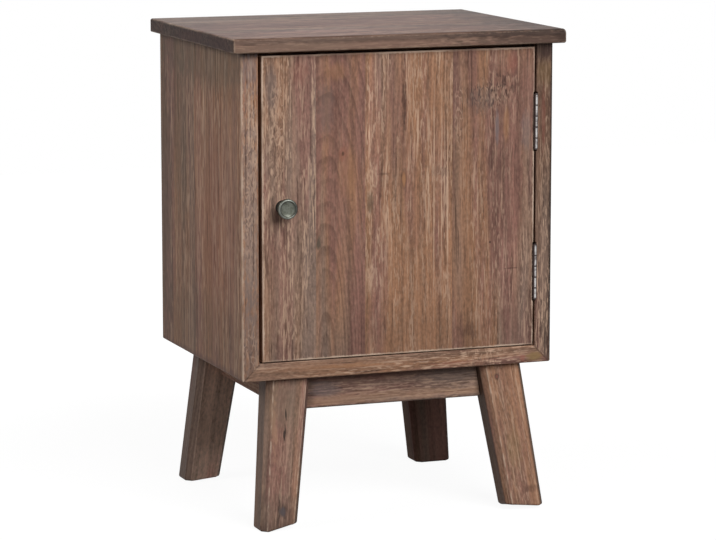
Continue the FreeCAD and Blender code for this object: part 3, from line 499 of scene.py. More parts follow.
door_shades = front_marks(
    (20, 200, 130, 60, SHADED, 0.30), (-140, 205, 50, 60, SHADED, 0.18), (135, 200, 60, 60, SHADED, 0.15),
    (-30, 475, 32, 110, BLEACHED, 0.24), (-30, 310, 32, 80, BLEACHED, 0.12),
    (132, 280, 40, 45, BLEACHED, 0.20),
)
door_1_marks = front_marks(
    (-152, 500, 11, 34, GREY_STAIN, 0.55), (-158, 420, 5, 40, GREY_STAIN, 0.35),
    (-120, 516, 14, 20, RED_BROWN, 0.25), *crackle(-146, 440, 14, 90, 0.40),
    (-142, 260, 40, 80, TAN_ORANGE, 0.14),
)
door_2_marks = front_marks(
    (-88, 474, 13, 42, GREY_STAIN, 0.40, 0.6), (-67.8, 423, 7, 12, RED_BROWN, 0.5),
    (-67.8, 423, 2.2, 3.4, KNOT, 0.9), (-75, 515, 16, 14, ORANGE, 0.35),
    (-97, 323.5, 4, 10, GREEN_STAIN, 0.8, 0.7), (-62, 400, 14, 40, ORANGE, 0.3),
)
door_3_marks = front_marks(
    (-35, 366, 5, 20, GREEN_STAIN, 0.45, 1.0), (-20, 398, 11, 2.0, KNOT, 0.35, 0.8),
    (5.6, 391, 5, 15, KNOT, 0.65, 0.2), (5.6, 391, 3.4, 12, ORANGE, 0.85, 0.2),
    (5.6, 477, 3.6, 34, KNOT, 0.65, 0.9), (-33, 392, 9, 28, PALE, 0.55, 0.6, 0.8),
    (51, 396, 12, 14, PALE, 0.55, 0.5, 0.8), (-33, 280, 9, 26, PALE, 0.45, 0.6, 0.7),
    (42.2, 370, 1.0, 175, PALE, 0.55, 0.6), (51.4, 370, 0.9, 175, PALE, 0.55, 0.6),
    (58.8, 370, 1.1, 175, PALE, 0.6, 0.6), (50, 398, 12, 9, KNOT, 0.35, 1.1),
)
door_4_marks = front_marks(
    (124, 490, 26, 24, KNOT, 0.85, 0.5, 1.0), (104, 484, 32, 22, KNOT, 0.80, 0.5, 1.0),
    *crackle(112, 478, 34, 22, 0.30), *crackle(72, 460, 7, 60, 0.35),
    (100, 478, 20, 20, GREY_STAIN, 0.30, 0.8),
    (119.3, 444.5, 3.5, 28, BLUE_GREY, 0.6), (130.4, 447.5, 5, 28, ORANGE, 0.5),
    (137.3, 519, 10, 15, RED_BROWN, 0.5), (112, 408, 4, 26, KNOT, 0.55, 0.7),
    (123, 398, 4, 24, KNOT, 0.45, 0.7), (138, 282, 11, 1.2, KNOT, 0.6, 0.6),
    (111.5, 313.6, 1.8, 2.2, KNOT, 0.85), (84.9, 213, 16, 12, KNOT, 0.35, 0.9),
    (155, 440, 8, 30, BLUE_GREY, 0.35),
)
left_stains_and_shade = left_marks(
    # The two SHADED rows high on the side are painted shade under the top's overhang.
    (0, 530, 300, 70, SHADED, 0.25, 0.5), (170, 520, 110, 70, SHADED, 0.20, 0.5),
    (-115, 385, 60, 140, BLEACHED, 0.25, 0.5), (150, 350, 45, 260, DARK_OLIVE, 0.50, 0.5),
    (80, 430, 40, 160, GREY_OLIVE, 0.35, 0.5), (-20, 525, 220, 48, GREY_OLIVE, 0.50, 0.5),
    (-60, 340, 90, 170, RED_BROWN, 0.30, 0.5), (-60, 415, 110, 80, TAN, 0.14, 0.5),
    (0, 190, 260, 90, DARK_OLIVE, 0.30, 0.5), (0, 169, 400, 11, DARK_PLUM, 0.60, 0.6),
)
left_stile_marks = front_marks(
    # The dark band at UNDER_TOP, where the stile meets the top, is partly dirt and partly painted shade.
    (-178, 355, 13, 190, PINK_GREY, 0.65, 0.9), (-178, UNDER_TOP, 40, 9, SOOT_AND_SHADE, 0.85, 0.25),
    *crackle(-178, 205, 12, 40, 0.60), *crackle(-178, 400, 12, 150, 0.40),
    (-178, 215, 14, 90, GREY_STAIN, 0.45, 0.9), (-178, 520, 14, 30, BLUE_GREY, 0.45, 0.9),
    (-183, 420, 1.4, 90, KNOT, 0.55, 0.8), (-174, 320, 1.2, 80, KNOT, 0.5, 0.8),
    (-179, 470, 1.2, 60, PALE, 0.5, 0.8),
)
right_stile_marks = front_marks(
    # The dark patch at z 538, under the top, is partly dirt and partly painted shade under the top's
    # overhang.
    (180, 506, 16, 22, OLIVE, 0.40), (178, 538, 40, 26, SOOT_AND_SHADE, 0.75, 0.3),
    (177, 455, 3.5, 50, RED_BROWN, 0.55, 0.8), (178, 480, 14, 110, KNOT, 0.35, 0.9),
    (179, 285, 8, 80, TAN, 0.35, 1.0), (187, 360, 4, 220, SOOT_AND_SHADE, 0.55, 0.5),
)
bottom_edge_marks = front_marks(
    (168, 177, 14, 7, OLIVE, 0.75), (153, 176, 5, 5, RED_BROWN, 0.6), (-60, 181, 60, 3, ORANGE, 0.4, 0.8),
    (130, 180, 55, 14, BLEACHED, 0.25), (70, 176, 40, 3, RED_BROWN, 0.4, 0.8),
    *crackle(106, 180, 30, 12, 0.45),
)
# Darker and lighter patches on the top, darkest at its right end.
top_patches = top_marks(
    (-195, 50, 70, 110, SHADED, 0.50), (205, 0, 100, 270, SHADED, 1.00), (-95, -120, 120, 70, BLEACHED, 0.70),
    (20, -80, 140, 70, BLEACHED, 0.40), (-75, 10, 60, 30, SHADED, 0.30), (-90, 120, 90, 30, SHADED, 0.45),
    (30, 70, 110, 40, SHADED, 0.30),
)
top_edge_marks = [
    mark((0, TOP_FRONT, TOP - 6), (600, 5, 18), TAN, 0.45, 0.2),
    mark((0, TOP_FRONT, TOP - 3.5), (600, 8, 5), SHADED, 0.80, 0.6),
    mark((190, TOP_FRONT, TOP - 8), (160, 12, 40), SHADED, 0.90, 0.9),
    mark((203, TOP_FRONT, TOP - 10), (22, 12, 30), SOOT_AND_SHADE, 0.45, 0.5),
]
front_rail_marks = rail_marks(
    # The dark band along the rail's top is painted shadow under the cabinet's bottom; the dark patch at x
    # -103 is painted shadow beside the front left leg.
    (0, 170, 400, 13, SOOT_AND_SHADE, 0.45, 0.3), (0, 139, 300, 7, TAN_ORANGE, 0.4, 1.0),
    (70, 158, 45, 9, GREY_STAIN, 0.5, 0.8), (-103, 150, 14, 26, SOOT_AND_SHADE, 0.5, 0.5),
    (-82, 152, 24, 12, BLUE_GREY, 0.45, 0.6), (0, 130.5, 400, 2.6, SOOT_AND_SHADE, 0.6, 0.8),
    (20, 146, 70, 9, KNOT, 0.25, 1.0),
)


# Boards

# The axes that lie across, through and along each kind of board's grain
UPRIGHT_FRONT, UPRIGHT_SIDE, LYING, RAIL, SIDE_RAIL = "xyz", "yxz", "yzx", "zyx", "zxy"
TOP_FINISH = {"gloss": 0.12, "coarse": 2.0}

BOARDS = {
    "door_plank_1": board(
        UPRIGHT_FRONT, figure(1, 0.50, 1.11, (260, 120), rings=0.25, fibre=0.75, lime=0.85),
        door_edges, door_shades + door_1_marks),
    "door_plank_2": board(
        UPRIGHT_FRONT,
        figure(2, 0.63, 1.00, (-17, 20), (0.0, -0.16), rings=0.55, fibre=0.30, lime=0.20, plum=0.70),
        door_edges, door_shades + door_2_marks),
    "door_plank_3": board(
        UPRIGHT_FRONT, figure(3, 0.64, 1.03, (-180, 90), rings=0.32, fibre=0.60, lime=0.70, plum=0.36),
        door_edges, door_shades + door_3_marks),
    "door_plank_4": board(
        UPRIGHT_FRONT,
        figure(4, 0.54, 0.94, (120, 70), (0.0, 0.06), rings=0.30, fibre=0.75, lime=0.52, plum=0.55),
        door_edges, door_shades + door_4_marks),
    "left_side_front_plank": board(
        UPRIGHT_SIDE, figure(5, 0.66, 1.14, (120, 60), (0.0, 0.05), rings=0.50, fibre=0.9, lime=1.0),
        carcass_edges, left_stains_and_shade + left_stile_marks, coarse=2.0),
    "left_side_back_plank": board(
        UPRIGHT_SIDE, figure(6, 0.60, 0.98, (-150, 80), rings=0.35, fibre=0.7, lime=0.80),
        grimy_edges, left_stains_and_shade, coarse=2.0),
    "right_side_front_plank": board(
        UPRIGHT_SIDE, figure(7, 0.50, 0.68, (110, -60), fibre=1.0, lime=0.95),
        grimy_edges, right_stile_marks, coarse=1.8),
    "right_side_back_plank": board(
        UPRIGHT_SIDE, figure(8, 0.55, 0.98, (-90, -70), (0.0, 0.05), lime=0.45), carcass_edges, coarse=1.8),
    "bottom_front_plank": board(
        LYING, figure(9, 0.44, 1.02, (60, -70), rings=0.7, fibre=0.9, lime=1.0),
        [*carcass_edges, mitre_grime], bottom_edge_marks),
    "bottom_back_plank": board(LYING, figure(10, 0.50, 0.95, (-40, -90), lime=0.45), carcass_edges),
    # The top boards' low lightness darkens the top, partly as the wood's own tone and partly as painted
    # shade, since the lamps light the top more strongly than the front.
    "top_front_plank": board(
        LYING, figure(11, 0.40, 0.54, (20, -60), (0.0, 0.04), rings=0.9, fibre=1.0, lime=0.40, plum=0.7),
        top_edges, top_patches + top_edge_marks, **TOP_FINISH),
    "top_middle_plank": board(
        LYING, figure(12, 0.34, 0.68, (-140, -60), rings=0.9, fibre=1.0, lime=0.40, plum=0.7),
        top_edges, top_patches, **TOP_FINISH),
    "top_back_plank": board(
        LYING, figure(13, 0.24, 0.78, (30, -50), (0.0, -0.04), rings=0.9, fibre=1.0, lime=0.45),
        top_edges, top_patches, **TOP_FINISH),
    "front_rail": board(
        RAIL, figure(18, 0.26, 1.22, (60, 60), rings=0.7, fibre=1.0, lime=0.80), marks=front_rail_marks),
    "back_rail": board(RAIL, figure(19, 0.55, 0.98, (-60, 60), lime=0.45)),
    "left_rail": board(SIDE_RAIL, figure(20, 0.55, 0.98, (60, 60), lime=0.45)),
    "right_rail": board(SIDE_RAIL, figure(21, 0.55, 0.98, (-60, 60), lime=0.45)),
    "front_stretcher": board(LYING, figure(22, 0.5, 1.05, (60, 60), lime=0.35)),
    "rear_stretcher": board(LYING, figure(23, 0.5, 1.05, (-60, 60), lime=0.35)),
    "back_panel": board(UPRIGHT_FRONT, figure(24, 0.5, 1.08, (-30, 60), (0.0, 0.05), lime=0.30)),
    "stretcher_dowels": board(LYING, figure(25, 0.5, 1.2, (60, 60), lime=0.2)),
    "left_mitre_spline": board(LYING, figure(26, 0.5, 1.1, (60, 60), lime=0.2)),
    "right_mitre_spline": board(LYING, figure(27, 0.5, 1.1, (60, 60), lime=0.2)),
}


def dress(name, material):
    """Gives a node one material all over."""
    mesh = NODES[name].data
    mesh.materials.clear()
    mesh.materials.append(material)


for board_name, board_row in BOARDS.items():
    dress(board_name, board_material(board_name + "_wood", board_row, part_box(board_name)))


# Pieces of the scene's own

def skin(shape, rings):
    """Closes a stack of rings: faces between neighbours and over both ends, all pointing outward."""
    for upper, lower in zip(rings, rings[1:]):
        for index in range(len(upper)):
            following = (index + 1) % len(upper)
            shape.faces.new((upper[index], upper[following], lower[following], lower[index]))
    shape.faces.new(rings[0])
    shape.faces.new(rings[-1])
    bmesh.ops.recalc_face_normals(shape, faces=shape.faces)


def placed_object(name, data):
    """A new object in the scene's collection."""
    holder = bpy.data.objects.new(name, data)
    bpy.context.scene.collection.objects.link(holder)
    return holder


def finished_piece(name, shape, sharp_angle):
    """Turns a bmesh into an object at the origin, smooth but for edges sharper than the angle."""
    mesh = bpy.data.meshes.new(name)
    shape.to_mesh(mesh)
    shape.free()
    mesh.shade_smooth()
    mesh.set_sharp_from_angle(angle=math.radians(sharp_angle))
    return placed_object(name, mesh)


def stand_in_for(piece, node, body):
    """Lets a piece of the scene's own take a node's place."""
    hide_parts(node)
    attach(piece, body)


# Legs

# Sizes in mm: the leg, the round of its sole and the band beside a chamfer that wears with it
LEG_WIDTH_TOP, LEG_WIDTH_FOOT, LEG_DEPTH = 51.5, 42.8, 32.0
SOLE_ROUND, ARRIS_BAND = 3.0, 1.5

# Shift of the grain for each mm of height, sideways and to the front or the back
LEG_SPLAY, FRONT_RAKE, BACK_RAKE = 0.126, 0.156, 0.095

# Share of a chamfer over which the wear of its arris fades, and how strongly all wear and painted shade show
CHAMFER_MARGIN, LEG_WEAR_AND_SHADE = 0.2, 0.85

LEG_RINGS, SOLE_STEPS, LEG_SHARP_ANGLE = 10, 4, 25


def corner(chamfer, sole, before=0.0, middle=0.0, after=0.0):
    """One corner of a leg: its chamfer and its sole's height in mm, and the wear across its chamfer.

    Wear is above zero where the wood is worn pale and below zero where it is darkened, partly as dirt and
    partly as painted shade.
    """
    return {"chamfer": chamfer, "sole": sole, "wear": (before, middle, after)}


def leg_row(own_figure, corners, grime_and_shade=(0, 0, 0, 0), foot_out=0.0, inner_in=0.0, marks=(), gloss=0.2):
    """One leg. Its corners go round from the outer back one by the outer front one.

    The values that follow its corners are the wear of its outer, front, inner and back faces; below zero
    they darken a face, partly as dirt and partly as painted shade. Foot_out and inner_in move its
    foot outward and its inner face inward, in mm.
    """
    return {"figure": own_figure, "corners": corners, "grime_and_shade": grime_and_shade, "foot_out": foot_out,
            "inner_in": inner_in, "marks": marks, "gloss": gloss}


front_left_leg_marks = [
    mark((-141, -135, 140), (24, 16, 44), GREEN_GREY, 0.45, 0.5),
    *(mark((x, -138, z), (1.3, 14, 11), SOOT_AND_SHADE, 0.85, 1.2)
      for x, z in ((-135.6, 128), (-137.3, 116), (-139, 104))),
    mark((-146, -154, 24), (9, 14, 11), KNOT, 0.65, 0.8),
    mark((-146, -154, 22), (5, 14, 7), KNOT_BLUE, 0.7, 0.5),
    mark((-150, -157, 0), (60, 40, 16), KNOT, 0.4, 0.4),
    mark((-150, -157, 16), (60, 40, 36), GREEN_STAIN, 0.30, 0.6),
    mark((-151, -138, 120), (6, 14, 60), TAN_ORANGE, 0.40, 0.9),
]
front_right_leg_marks = [
    mark((124, -133, 155), (4.2, 12, 5.2), KNOT, 0.75, 0.2),
    mark((124, -133, 155), (2.2, 12, 3.0), RED_BROWN, 0.5, 0.2),
    mark((159, -154, 24), (12, 14, 6), KNOT, 0.35, 0.9),
    mark((140, -146, 70), (16, 14, 30), OLIVE, 0.25, 0.6),
]
LEGS = {
    "front_left_leg": leg_row(
        figure(14, 0.56, 1.08, (90, 60), rings=0.25, fibre=0.35, lime=0.50, lean=(-LEG_SPLAY, -FRONT_RAKE)),
        (corner(3, 0, -0.4, -0.5, -0.7), corner(6.5, 0, -0.3, -0.2, 0.8),
         corner(5, 6, 0.7, -0.7, -0.9), corner(3, 4, -0.5, -0.4, -0.3)),
        grime_and_shade=(-0.35, 0, 0, 0), marks=front_left_leg_marks),
    # Its darkened inner face and inner back chamfer are painted shade.
    "front_right_leg": leg_row(
        figure(15, 0.54, 1.08, (-70, 50), rings=0.25, fibre=0.40, lime=0.55, lean=(LEG_SPLAY, -FRONT_RAKE)),
        (corner(3, 0, -0.3, -0.3, -0.4), corner(4, 3.5, -1.0, -0.9, -0.6),
         corner(6.5, 6.5, 0.8, 0.0, -0.8), corner(3, 3, -1.0, -0.9, -0.6)),
        grime_and_shade=(0, 0, -0.85, 0), foot_out=2.8, inner_in=-0.8, marks=front_right_leg_marks),
    # Its very light wood lifts its front face out of the cabinet's shadow, which is painted light; its
    # darkened outer face and chamfers are painted shade.
    "back_left_leg": leg_row(
        figure(16, 0.16, 3.1, (-90, 60), rings=0.3, fibre=0.35, lime=0.40, plum=0.3,
               lean=(-LEG_SPLAY, BACK_RAKE)),
        (corner(3, 0, -0.3, -0.6, -0.9), corner(7, 0, -0.9, -0.75, -0.1),
         corner(4, 2.5, 0.0, -0.8, -0.9), corner(3, 3, -0.5, -0.4, -0.3)),
        grime_and_shade=(-0.95, 0, -0.5, -0.5)),
    # Its dark wood and its darkened front and chamfers are painted shade under the cabinet.
    "back_right_leg": leg_row(
        figure(17, 0.40, 0.68, (80, 60), rings=0.1, fibre=0.15, lime=0.05, plum=0.8,
               lean=(LEG_SPLAY, BACK_RAKE)),
        (corner(3, 0), corner(3, 0, -0.9, -0.9, -0.9),
         corner(6, 0, -0.5, -0.1, 0.0), corner(2, 0, -0.3, -0.5, -0.5)),
        grime_and_shade=(0, -0.5, -0.1, 0), foot_out=-1.0, inner_in=2.3, gloss=0.05),
}


def leg_ring(corners, leg):
    """Points round one cross-section: place, height of the sole below it, and how worn the wood is there."""
    points = []
    for number, (place, row) in enumerate(zip(corners, leg["corners"])):
        to_before = (corners[number - 1] - place).normalized()
        to_after = (corners[(number + 1) % 4] - place).normalized()
        first, last = place + to_before * row["chamfer"], place + to_after * row["chamfer"]
        before, middle, after = row["wear"]
        points += [(spot, row["sole"], worn) for spot, worn in (
            (first + to_before * ARRIS_BAND, leg["grime_and_shade"][number - 1]), (first, before),
            (first.lerp(last, CHAMFER_MARGIN), middle), (first.lerp(last, 1 - CHAMFER_MARGIN), middle),
            (last, after), (last + to_after * ARRIS_BAND, leg["grime_and_shade"][number]),
        )]
    return points


def leg_outline(name, leg):
    """The leg's height in mm, and a function for its four corners at a height, in the order of its row.

    The box of the left leg at the same end of the table gives the places of the top and of the foot.
    """
    end, side = name.split("_")[:2]
    low, high = (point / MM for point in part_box(f"{end}_left_leg"))
    sign, toward_back = (-1 if side == "left" else 1), (1 if end == "back" else -1)
    outer_foot, inner_top = -low.x, -high.x
    far_foot = max(abs(low.y), abs(high.y))
    near_top = min(abs(low.y), abs(high.y))

    def corners(z):
        down = 1 - z / high.z
        outer = inner_top + LEG_WIDTH_TOP + (outer_foot - inner_top - LEG_WIDTH_TOP + leg["foot_out"]) * down
        inner = inner_top + (outer_foot - LEG_WIDTH_FOOT - inner_top) * down - leg["inner_in"]
        far = near_top + LEG_DEPTH + (far_foot - near_top - LEG_DEPTH) * down
        front, back = sorted((toward_back * far, toward_back * (far - LEG_DEPTH)))
        round_the_leg = ((outer, back), (outer, front), (inner, front), (inner, back))
        return [Vector((sign * x, y)) for x, y in round_the_leg]

    return high.z, corners


def drawn_in(place, corners, inward):
    """A point of a cross-section, moved toward its middle where the sole is rounded."""
    middle = sum(corners, Vector((0.0, 0.0))) / 4
    half = Vector((abs(corners[0].x - corners[2].x), abs(corners[0].y - corners[2].y))) / 2
    away = place - middle
    return middle + Vector((away.x * (1 - inward / half.x), away.y * (1 - inward / half.y)))


def leg_piece(name, leg):
    """A splayed leg with four tapering faces, flat chamfers on its arrises and a rounded, uneven sole."""
    height, corners = leg_outline(name, leg)
    shape = bmesh.new()
    wear_and_shade_layer = shape.verts.layers.float.new("arris")
    levels = [(step / LEG_RINGS, 0.0) for step in range(LEG_RINGS + 1)]
    levels += [(1.0, math.pi / 2 * step / SOLE_STEPS) for step in range(1, SOLE_STEPS + 1)]
    rings = []
    for share, turn in levels:
        ring = []
        for index, (_, sole, worn) in enumerate(leg_ring(corners(0), leg)):
            z = height + (sole + SOLE_ROUND - height) * share - SOLE_ROUND * math.sin(turn)
            here = corners(z)
            place = drawn_in(leg_ring(here, leg)[index][0], here, SOLE_ROUND * (1 - math.cos(turn)))
            vert = shape.verts.new(Vector((place.x, place.y, z)) * MM)
            vert[wear_and_shade_layer] = worn
            ring.append(vert)
        rings.append(ring)
    skin(shape, rings)
    return finished_piece(name + "_shaped", shape, LEG_SHARP_ANGLE)


for leg_name, leg in LEGS.items():
    leg_board = board(UPRIGHT_FRONT, leg["figure"], marks=leg["marks"], gloss=leg["gloss"])
    leg_wood = board_material(leg_name + "_wood", leg_board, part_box(leg_name), LEG_WEAR_AND_SHADE)
    shaped_leg = leg_piece(leg_name, leg)
    shaped_leg.data.materials.append(leg_wood)
    stand_in_for(shaped_leg, leg_name, "cabinet")


# Metal and plastic

# Features per metre of blotches and scratches, and how strong and deep in mm the relief of small parts is
BLOTCHES, SCRATCHES = (240, 240, 240), (1500, 1500, 180)
PLASTIC_GRAIN, PLASTIC_CLOUDS = (1200, 1200, 1200), (90, 90, 90)
FINE_RELIEF, KNOB_RELIEF, FINE_RELIEF_DEPTH = 0.15, 0.08, 0.2
ALL_METAL = {"Metallic": 1.0}


def aged_metal():
    """Metal between a bright and a tarnished tone, with fine scratches."""
    tree, w, given, result = shader_group("Aged Metal", [
        ("Point", "Vector", ZERO), ("Bright", "Color", GREY), ("Tarnish", "Color", GREY),
        ("Tarnished", "Float", 0.5), ("Smooth", "Float", 0.3), ("Rough", "Float", 0.6),
    ], [("Color", "Color"), ("Roughness", "Float"), ("Height", "Float")])
    blotch = w.noise(given["Point"], BLOTCHES, detail=4.0, roughness=0.65)
    scratch = w.noise(given["Point"], SCRATCHES)
    dull = w.ramp(w.math("ADD", blotch, w.math("SUBTRACT", given["Tarnished"], 0.5)), 0.40, 0.62)
    dull = w.math("MULTIPLY_ADD", w.math("SUBTRACT", scratch, 0.5), 0.35, dull, clamp=True)
    w.link(w.mix(dull, given["Bright"], given["Tarnish"]), result["Color"])
    spread = w.math("SUBTRACT", given["Rough"], given["Smooth"])
    w.link(w.math("MULTIPLY_ADD", dull, spread, given["Smooth"]), result["Roughness"])
    w.link(w.math("MULTIPLY_ADD", scratch, 0.4, blotch), result["Height"])
    return tree


METAL = aged_metal()


def metal_in(w, place, bright, tarnish, tarnished, smooth, rough):
    """Outputs of the aged metal, placed in one material with its own values."""
    inputs = {"Point": place, "Bright": bright, "Tarnish": tarnish, "Tarnished": tarnished,
              "Smooth": smooth, "Rough": rough}
    return w.add("ShaderNodeGroup", inputs, node_tree=METAL).outputs


def metal_material(name, **values):
    """Plain aged metal with the given values of metal_in."""
    material, w = blank_material(name)
    metal = metal_in(w, w.add("ShaderNodeTexCoord").outputs["Object"], **values)
    w.surface(metal["Color"], metal["Roughness"], metal["Height"], FINE_RELIEF, FINE_RELIEF_DEPTH, ALL_METAL)
    return material


def plastic_material(name, colour, speckle):
    """Moulded plastic, clouded toward a second tone."""
    material, w = blank_material(name)
    place = w.add("ShaderNodeTexCoord").outputs["Object"]
    grain = w.noise(place, PLASTIC_GRAIN)
    cloud = w.noise(place, PLASTIC_CLOUDS)
    tint = w.mix(w.ramp(w.math("MULTIPLY_ADD", grain, 0.4, cloud), 0.5, 0.9), colour, speckle)
    w.surface(tint, w.ramp(cloud, 0.3, 0.7, 0.38, 0.52), grain, FINE_RELIEF, FINE_RELIEF_DEPTH)
    return material


screw_steel = metal_material("screw_steel", bright=tone(186, 182, 176), tarnish=tone(96, 88, 80),
                             tarnished=0.50, smooth=0.30, rough=0.60)
catch_steel = metal_material("catch_steel", bright=tone(190, 188, 184), tarnish=tone(130, 124, 118),
                             tarnished=0.35, smooth=0.25, rough=0.50)
catch_plastic = plastic_material("catch_plastic", tone(92, 70, 58), tone(110, 86, 72))
magnet_dark = plastic_material("magnet_dark", tone(40, 40, 42), tone(58, 57, 56))

dress("catch_body", catch_plastic)
dress("catch_magnet", magnet_dark)
for plate in ("catch_pole_plates", "strike_plate"):
    dress(plate, catch_steel)


# Hinges

KNUCKLES = 5
HINGE_BRIGHT, HINGE_TARNISH, HINGE_GRIME_AND_SHADE = tone(190, 186, 184), tone(128, 120, 118), tone(70, 60, 59)
KNUCKLE_UNEVENNESS = (60, 60, 160)

# How far in front of the door, in mm, the painted highlight on a knuckle's front begins and is full
HIGHLIGHT_FROM, HIGHLIGHT_TO = 1.2, 2.6


def hinge_material(name, box):
    """Tarnished steel, darkened all over, partly as dirt and partly as a painted dark reflection, but for a
    painted highlight down the front of each knuckle.
    """
    material, w = blank_material(name)
    coordinates = w.add("ShaderNodeTexCoord").outputs
    place = coordinates["Object"]
    metal = metal_in(w, place, HINGE_BRIGHT, HINGE_TARNISH, tarnished=0.45, smooth=0.30, rough=0.55)
    to_front = w.math("MULTIPLY", w.parts(coordinates["Normal"])[1], -1.0)
    out = w.math("SUBTRACT", FRONT * MM, w.parts(place)[1])
    # A bright strip where a knuckle faces the front, beyond the door: painted highlight.
    painted_highlight = w.math("MULTIPLY", w.ramp(to_front, 0.84, 0.97), w.ramp(out, HIGHLIGHT_FROM * MM, HIGHLIGHT_TO * MM))
    low, high = box
    up = w.math("DIVIDE", w.math("SUBTRACT", w.parts(place)[2], low.z), (high.z - low.z) / KNUCKLES)
    to_seam = w.math("PINGPONG", up, 0.5)
    uneven = w.noise(place, KNUCKLE_UNEVENNESS)
    knuckle = w.math("MULTIPLY", w.ramp(to_seam, 0.02, 0.12), w.ramp(uneven, 0.34, 0.54, 0.45, 1.0))
    dull = w.math("SUBTRACT", 1.0, w.math("MULTIPLY", painted_highlight, knuckle))
    colour = w.mix(dull, metal["Color"], HINGE_GRIME_AND_SHADE)
    w.surface(colour, metal["Roughness"], metal["Height"], FINE_RELIEF, FINE_RELIEF_DEPTH, ALL_METAL)
    return material


for height in ("upper", "lower"):
    hinge_steel = hinge_material(f"{height}_hinge_steel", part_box(f"{height}_hinge_frame_leaf"))
    for part in ("frame_leaf", "door_leaf", "pin"):
        dress(f"{height}_hinge_{part}", hinge_steel)


# Knob

# Its turned outline: radius and distance from the door in mm
KNOB_FOOT = ((7.4, 0.0), (8.0, 0.5), (8.0, 1.4), (7.5, 2.0), (6.3, 2.2))
KNOB_NECK = ((5.7, 2.7), (5.5, 3.8), (5.5, 7.6), (5.7, 9.4), (6.4, 11.2))
KNOB_FLARE = ((7.8, 13.0), (9.6, 14.4), (10.9, 15.3), (11.4, 16.0), (11.5, 16.9))
KNOB_RIM = ((11.5, 18.2), (11.3, 19.0), (10.8, 19.6), (10.1, 19.95), (9.5, 20.0))
KNOB_DISH = ((9.1, 19.8), (8.8, 19.4), (8.5, 19.1), (7.8, 18.8), (5.0, 18.6), (2.5, 18.5))
KNOB_STEPS = 72
KNOB_SHARP_ANGLE = 50

PEWTER, PEWTER_TARNISH, PEWTER_RUBBED = tone(98, 100, 92), tone(76, 77, 69), tone(122, 124, 120)
KNOB_GRIME_AND_SHADE = tone(30, 28, 27)

# Where its finish fades: the worn rim, the corner of the dish, the neck, and the right of the face, where
# shade is painted
RIM_RISE, RIM_FALL = millimetres(9.0, 9.8), millimetres(10.6, 11.3)
CORNER_RISE, CORNER_FALL = millimetres(7.4, 8.5), millimetres(8.8, 9.4)
NECK_FADE, RIGHT_SHADE_FADE = millimetres(-18.6, -15.0), millimetres(5.5, 9.5)


def knob_piece(foot):
    """The turned knob: foot, neck, flare and rim, with a shallow dish in its face."""
    shape = bmesh.new()
    turns = [2 * math.pi * step / KNOB_STEPS for step in range(KNOB_STEPS)]
    rings = []
    for radius, out in KNOB_FOOT + KNOB_NECK + KNOB_FLARE + KNOB_RIM + KNOB_DISH:
        offsets = (Vector((radius * math.cos(turn), -out, radius * math.sin(turn))) * MM for turn in turns)
        rings.append([shape.verts.new(foot + offset) for offset in offsets])
    skin(shape, rings)
    return finished_piece("turned_knob", shape, KNOB_SHARP_ANGLE)


def knob_material(foot):
    """Pewter, worn bright on the rim, dark with dirt round the neck and in the dish's corner, and darker at
    its right, which is painted shade.
    """
    material, w = blank_material("knob_pewter")
    place = w.add("ShaderNodeTexCoord").outputs["Object"]
    x, out, z = w.parts(w.vector("SUBTRACT", place, tuple(foot)))
    radius = w.vector("LENGTH", w.joined(x, 0.0, z))
    metal = metal_in(w, place, PEWTER, PEWTER_TARNISH, tarnished=0.5, smooth=0.36, rough=0.52)
    rim = w.band(radius, RIM_RISE, RIM_FALL)
    dish_corner = w.band(radius, CORNER_RISE, CORNER_FALL)
    grime_and_shade = w.math("MAXIMUM", w.math("MULTIPLY", dish_corner, 0.5), w.ramp(out, *NECK_FADE, 0.0, 0.9))
    # Darker toward the right of the knob: painted shade.
    grime_and_shade = w.math("MAXIMUM", grime_and_shade, w.ramp(x, *RIGHT_SHADE_FADE, 0.0, 0.6))
    colour = w.mix(w.math("MULTIPLY", rim, 0.4), metal["Color"], PEWTER_RUBBED)
    colour = w.mix(grime_and_shade, colour, KNOB_GRIME_AND_SHADE)
    w.surface(colour, metal["Roughness"], metal["Height"], KNOB_RELIEF, FINE_RELIEF_DEPTH, ALL_METAL)
    return material


knob_low, knob_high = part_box("door_knob")
knob_foot = Vector(((knob_low.x + knob_high.x) / 2, FRONT * MM, (knob_low.z + knob_high.z) / 2))
knob = knob_piece(knob_foot)
knob.data.materials.append(knob_material(knob_foot))
stand_in_for(knob, "door_knob", "door")


# Screws

# How near to an end a point counts as part of it, as a share of the screw's length
END_SHARE = 0.04
DOUBLES_APART = 1e-6

# Sizes in head radii
HEAD_DEPTH, SHANK_RADIUS, TIP_RADIUS = 0.62, 0.45, 0.12
SLOT_SIZE = (2.4, 0.28, 0.5)
HEAD_SIDES, SHANK_SIDES = 32, 24


def islands(shape):
    """Lists of vertices that hang together, in the order of the mesh."""
    left = set(shape.verts)
    for first in shape.verts:
        if first in left:
            left.discard(first)
            island = [first]
            for vert in island:
                joined = [edge.other_vert(vert) for edge in vert.link_edges]
                fresh = [other for other in joined if other in left]
                left.difference_update(fresh)
                island.extend(fresh)
            yield island


def screw_shape(points):
    """Head middle, outward direction, head radius and length of one screw, from its points in metres."""
    low = Vector(min(point[axis] for point in points) for axis in range(3))
    high = Vector(max(point[axis] for point in points) for axis in range(3))
    size, middle = high - low, (low + high) / 2
    axis = max(range(3), key=lambda number: size[number])

    def radius_at(end):
        offsets = [point - middle for point in points if abs(point[axis] - end) < size[axis] * END_SHARE]
        for offset in offsets:
            offset[axis] = 0.0
        return max(offset.length for offset in offsets)

    at_low, at_high = radius_at(low[axis]), radius_at(high[axis])
    head, outward = middle.copy(), Vector(ZERO)
    head[axis] = high[axis] if at_high > at_low else low[axis]
    outward[axis] = 1.0 if at_high > at_low else -1.0
    return head, outward, max(at_low, at_high), size[axis]


